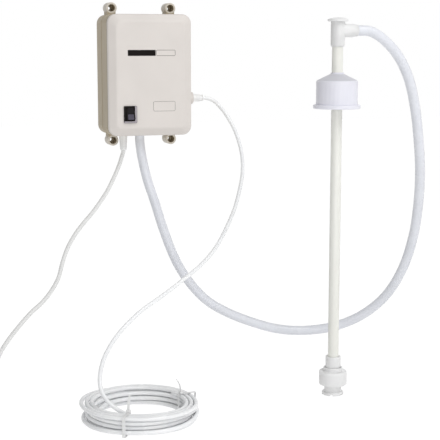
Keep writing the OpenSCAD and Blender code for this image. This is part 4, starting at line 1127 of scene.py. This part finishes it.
@dataclass
class MainsLead:
    """Mains lead from the gland under the case to the plug beside its coil."""

    radius: float = 3.5
    pitch: float = 8.1
    coil_r: float = 42.0
    turns: float = 2.15
    layers: int = 2
    coil_at: Point = (-335.0, -212.0, -495.4)
    run_steps: int = 4
    tie_deg: float = 110.0
    tie_tail: float = 14.0
    plug_at: Point = (-366.468, -257.694, -487.3)
    plug_turn_deg: float = 170.895
    # Each ring's place, width, height and corner
    plug_rings: tuple[tuple[float, ...], ...] = (
        (0.0, 8.6, 8.6, 4.2), (1.0, 9.4, 9.4, 4.6), (8.0, 10.6, 10.4, 5.0), (12.0, 13.0, 12.4, 5.4),
        (15.0, 19.0, 17.6, 6.0), (18.0, 24.6, 22.6, 6.6), (21.0, 27.2, 24.8, 7.0), (24.0, 28.0, 25.4, 7.0),
        (37.0, 28.0, 25.4, 7.0), (39.2, 27.4, 24.8, 6.8), (40.0, 25.8, 23.2, 6.0),
    )
    neck_rings: int = 4
    neck_from: float = 1.8
    neck_step: float = 2.3
    neck_core: float = 3.8
    neck_reach: float = 5.4
    neck_grow: float = 0.14
    neck_wide: float = 1.2
    neck_edge: float = 0.1
    neck_sides: int = 32
    ridges: int = 3
    ridge_from: float = 26.0
    ridge_step: float = 3.4
    ridge_size: Pair = (1.6, 14.0)
    ridge_corner: float = 0.7
    ridge_rings: Pairs = ((13.6, 0.0), (14.4, 0.2), (14.7, 0.7))  # distance out, taper
    gland_at: Pair = (-38.0, -45.0)
    gland_edge: float = 0.4
    gland_rings: int = 4
    gland_from: float = -108.0
    gland_step: float = 4.2
    gland_reach: float = 6.4498
    gland_taper: float = 0.28014
    gland_ring: Pairs = ((-0.6, -0.9), (0.35, -0.6), (0.35, 0.6), (-0.6, 0.9))  # from the reach, height
    gland_sides: int = 40
    route: list[Point] = field(default_factory=lambda: [
        (-38, -45, -94), (-38, -45, -113), (-38, -45, -128), (-41, -45, -138), (-46, -46, -152),
        (-55, -48, -171), (-67, -50, -193), (-80, -53, -211), (-96, -57, -230), (-113, -62, -247),
        (-130, -67, -267), (-143, -72, -288), (-152, -78, -309), (-160, -84, -332), (-173, -91, -351),
        (-190, -99, -368), (-210, -107, -382), (-230, -118, -399), (-248, -128, -416), (-263, -138, -433),
        (-275, -149, -453), (-282, -161, -472), (-285, -176, -487), (-282.126, -198.168, -495.4),
        (-283.21, -205.084, -495.4),
    ])

    def build(self) -> None:
        """Draw the lead, mould the plug and dress the gland and the tie."""
        half = self.turns * self.pitch / 2
        coil = Coil(
            self.coil_at, self.turns, self.layers, self.coil_r + half, self.coil_r - half,
            start_deg=0.0, way=-1, pitch=self.pitch,
        )
        run = eased(self.route + [tuple(p) for p in coil.points()] + [self.plug_at], self.run_steps)
        drawn = draw("mains_lead_run", run, self.radius, capped=True)
        lead = keep(drawn, CORD_WHITE, "frame")
        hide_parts("mains_cord", "mains_coil")
        plug = self._plug()
        dress(CONTACT_BRASS, "plug_pins")
        dress(BLACK_PLASTIC, "mains_tie")
        strap = CableTie(coil, self.radius, self.tie_deg, self.tie_tail)
        tie = strap.build("mains_tie", BLACK_PLASTIC, "black_plastic")
        self._gland()

    def _at_plug(self, s: float, u: float, v: float) -> Vector:
        """Give a point by its place along and across the plug.

        Args:
            s: Distance from the cord's end, along the plug.
            u: Distance to its left.
            v: Distance above its middle.

        Returns:
            The point in millimetres.
        """
        a = math.radians(self.plug_turn_deg)
        return Vector(self.plug_at) + Vector((
            s * math.cos(a) - u * math.sin(a), s * math.sin(a) + u * math.cos(a), v,
        ))

    def _plug(self) -> list[bpy.types.Object]:
        """Mould the plug's body, its neck rings and its finger ridges.

        Returns:
            The pieces made.
        """
        rings = [
            [self._at_plug(s, u, v) for u, v in outline(wide, tall, corner)]
            for s, wide, tall, corner in self.plug_rings
        ]
        body = add("plug_body", loft(rings), CORD_WHITE)
        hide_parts("mains_plug")
        pieces = [body]
        foot = self._at_plug(0, 0, 0)
        way = self._at_plug(1, 0, 0) - foot
        for k in range(self.neck_rings):
            low = self.neck_from + self.neck_step * k
            high = low + self.neck_wide
            reach = self.neck_reach + self.neck_grow * k
            band = (
                (self.neck_core, low), (reach, low + self.neck_edge),
                (reach, high - self.neck_edge), (self.neck_core, high),
            )
            shape = lathe(band, tuple(foot), way, self.neck_sides)
            pieces.append(add(f"plug_neck_ring_{k}", shape, CORD_WHITE))
        wide, tall = self.ridge_size
        for side, label in ((-1, "left"), (1, "right")):
            for k in range(self.ridges):
                s = self.ridge_from + self.ridge_step * k
                rings = []
                for out, taper in self.ridge_rings:
                    loop = outline(wide - taper, tall - taper, self.ridge_corner, steps=3)
                    rings.append([self._at_plug(s + a, side * out, v) for a, v in loop])
                pieces.append(add(f"plug_ridge_{k}_{label}", loft(rings), CORD_WHITE))
        return pieces

    def _gland(self) -> None:
        """Dress the gland and ring it."""
        # The gland and its rings are painted paler white: painted light against the case's shade.
        dress(WHITE_MOULD_PAINTED_LIGHT, "mains_gland")
        soften(self.gland_edge, "mains_gland")
        for k in range(self.gland_rings):
            z = self.gland_from - self.gland_step * k
            reach = self.gland_reach - self.gland_taper * k
            band = tuple((reach + out, up) for out, up in self.gland_ring)
            shape = lathe(band, (*self.gland_at, z), UP, self.gland_sides)
            add(f"gland_ring_{k}", shape, WHITE_MOULD_PAINTED_LIGHT)


@dataclass
class SuctionHose:
    """Milky hose from under the case to the wand's side spigot."""

    radius: float = 8.0
    run_steps: int = 6
    grommet_edge: float = 0.3
    route: list[Point] = field(default_factory=lambda: [
        (-10, -48, -92), (-10, -48, -112), (-8, -48, -130), (-5, -48, -146), (2, -50, -178), (12, -56, -212),
        (25, -68, -262), (42, -82, -313), (62, -96, -350), (90, -109, -382), (124, -121, -403),
        (164, -131, -420), (210, -138, -434), (258, -146, -438), (304, -160, -431), (344, -180, -411),
        (376, -207, -374), (394, -235, -322), (401, -258, -262), (400, -275, -202), (395, -287, -150),
        (386, -296, -98), (375, -303, -48), (360, -308, -2), (338, -312, 34), (310, -314, 60),
        (289, -315, 70.5), (268, -315, 71.5), (253, -315, 71.5),
    ])

    def build(self) -> None:
        """Draw the hose and dress the grommet it leaves by."""
        run = eased(self.route, self.run_steps)
        drawn = draw("suction_hose_run", run, self.radius, capped=True)
        hose = keep(drawn, MILKY_HOSE, "frame")
        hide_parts("suction_hose")
        # The grommet is painted paler white: painted light against the case's shade.
        dress(WHITE_MOULD_PAINTED_LIGHT, "hose_grommet")
        soften(self.grommet_edge, "hose_grommet")


@dataclass
class Wand:
    """Bottle wand: head, dip tube, neck cap, float and foot."""

    moulded_edge: float = 0.6
    thin_edge: float = 0.3
    cap_foot: Point = (235.0, -315.0, -47.0)
    cone_sides: int = 64
    cone_skin: Pairs = ((30.46, 42.91), (30.57, 43.13), (11.17, 52.63), (11.06, 52.41))

    def build(self) -> None:
        """Dress the wand's nodes and skin the cone of its cap in painted shade."""
        dress(WHITE_MOULD, "wand_head", "head_plug", "float", "float_stem", "strainer_foot")
        dress(IVORY_DRAWN, "dip_tube")
        dress(CAP_MOULD, "neck_cap")
        dress(GREY_RUBBER, "cap_gasket")
        dress(FERRITE_GREY, "float_magnet")
        dress(REED_GLASS, "reed_switch")
        dress(BLACK_RUBBER, "foot_valve")
        soften(self.moulded_edge, "wand_head", "head_plug", "float", "strainer_foot")
        soften(self.thin_edge, "neck_cap", "float_stem")
        # The cone's skin is the cap's plastic darkened with painted shade.
        cone = lathe(self.cone_skin, self.cap_foot, UP, self.cone_sides)
        add("cap_cone_painted_shade", cone, CONE_PAINTED_SHADE, body="cap")


def main() -> None:
    """Build the pump's looks in order."""
    logging.basicConfig(level=logging.INFO, format="%(name)s: %(message)s")
    for part in (Studio(), DeliveryTube(), MainsLead(), SuctionHose(), Case(), Switch(), Inside(), Wand()):
        LOG.info("building %s", type(part).__name__)
        part.build()


if __name__ == "__main__":
    main()
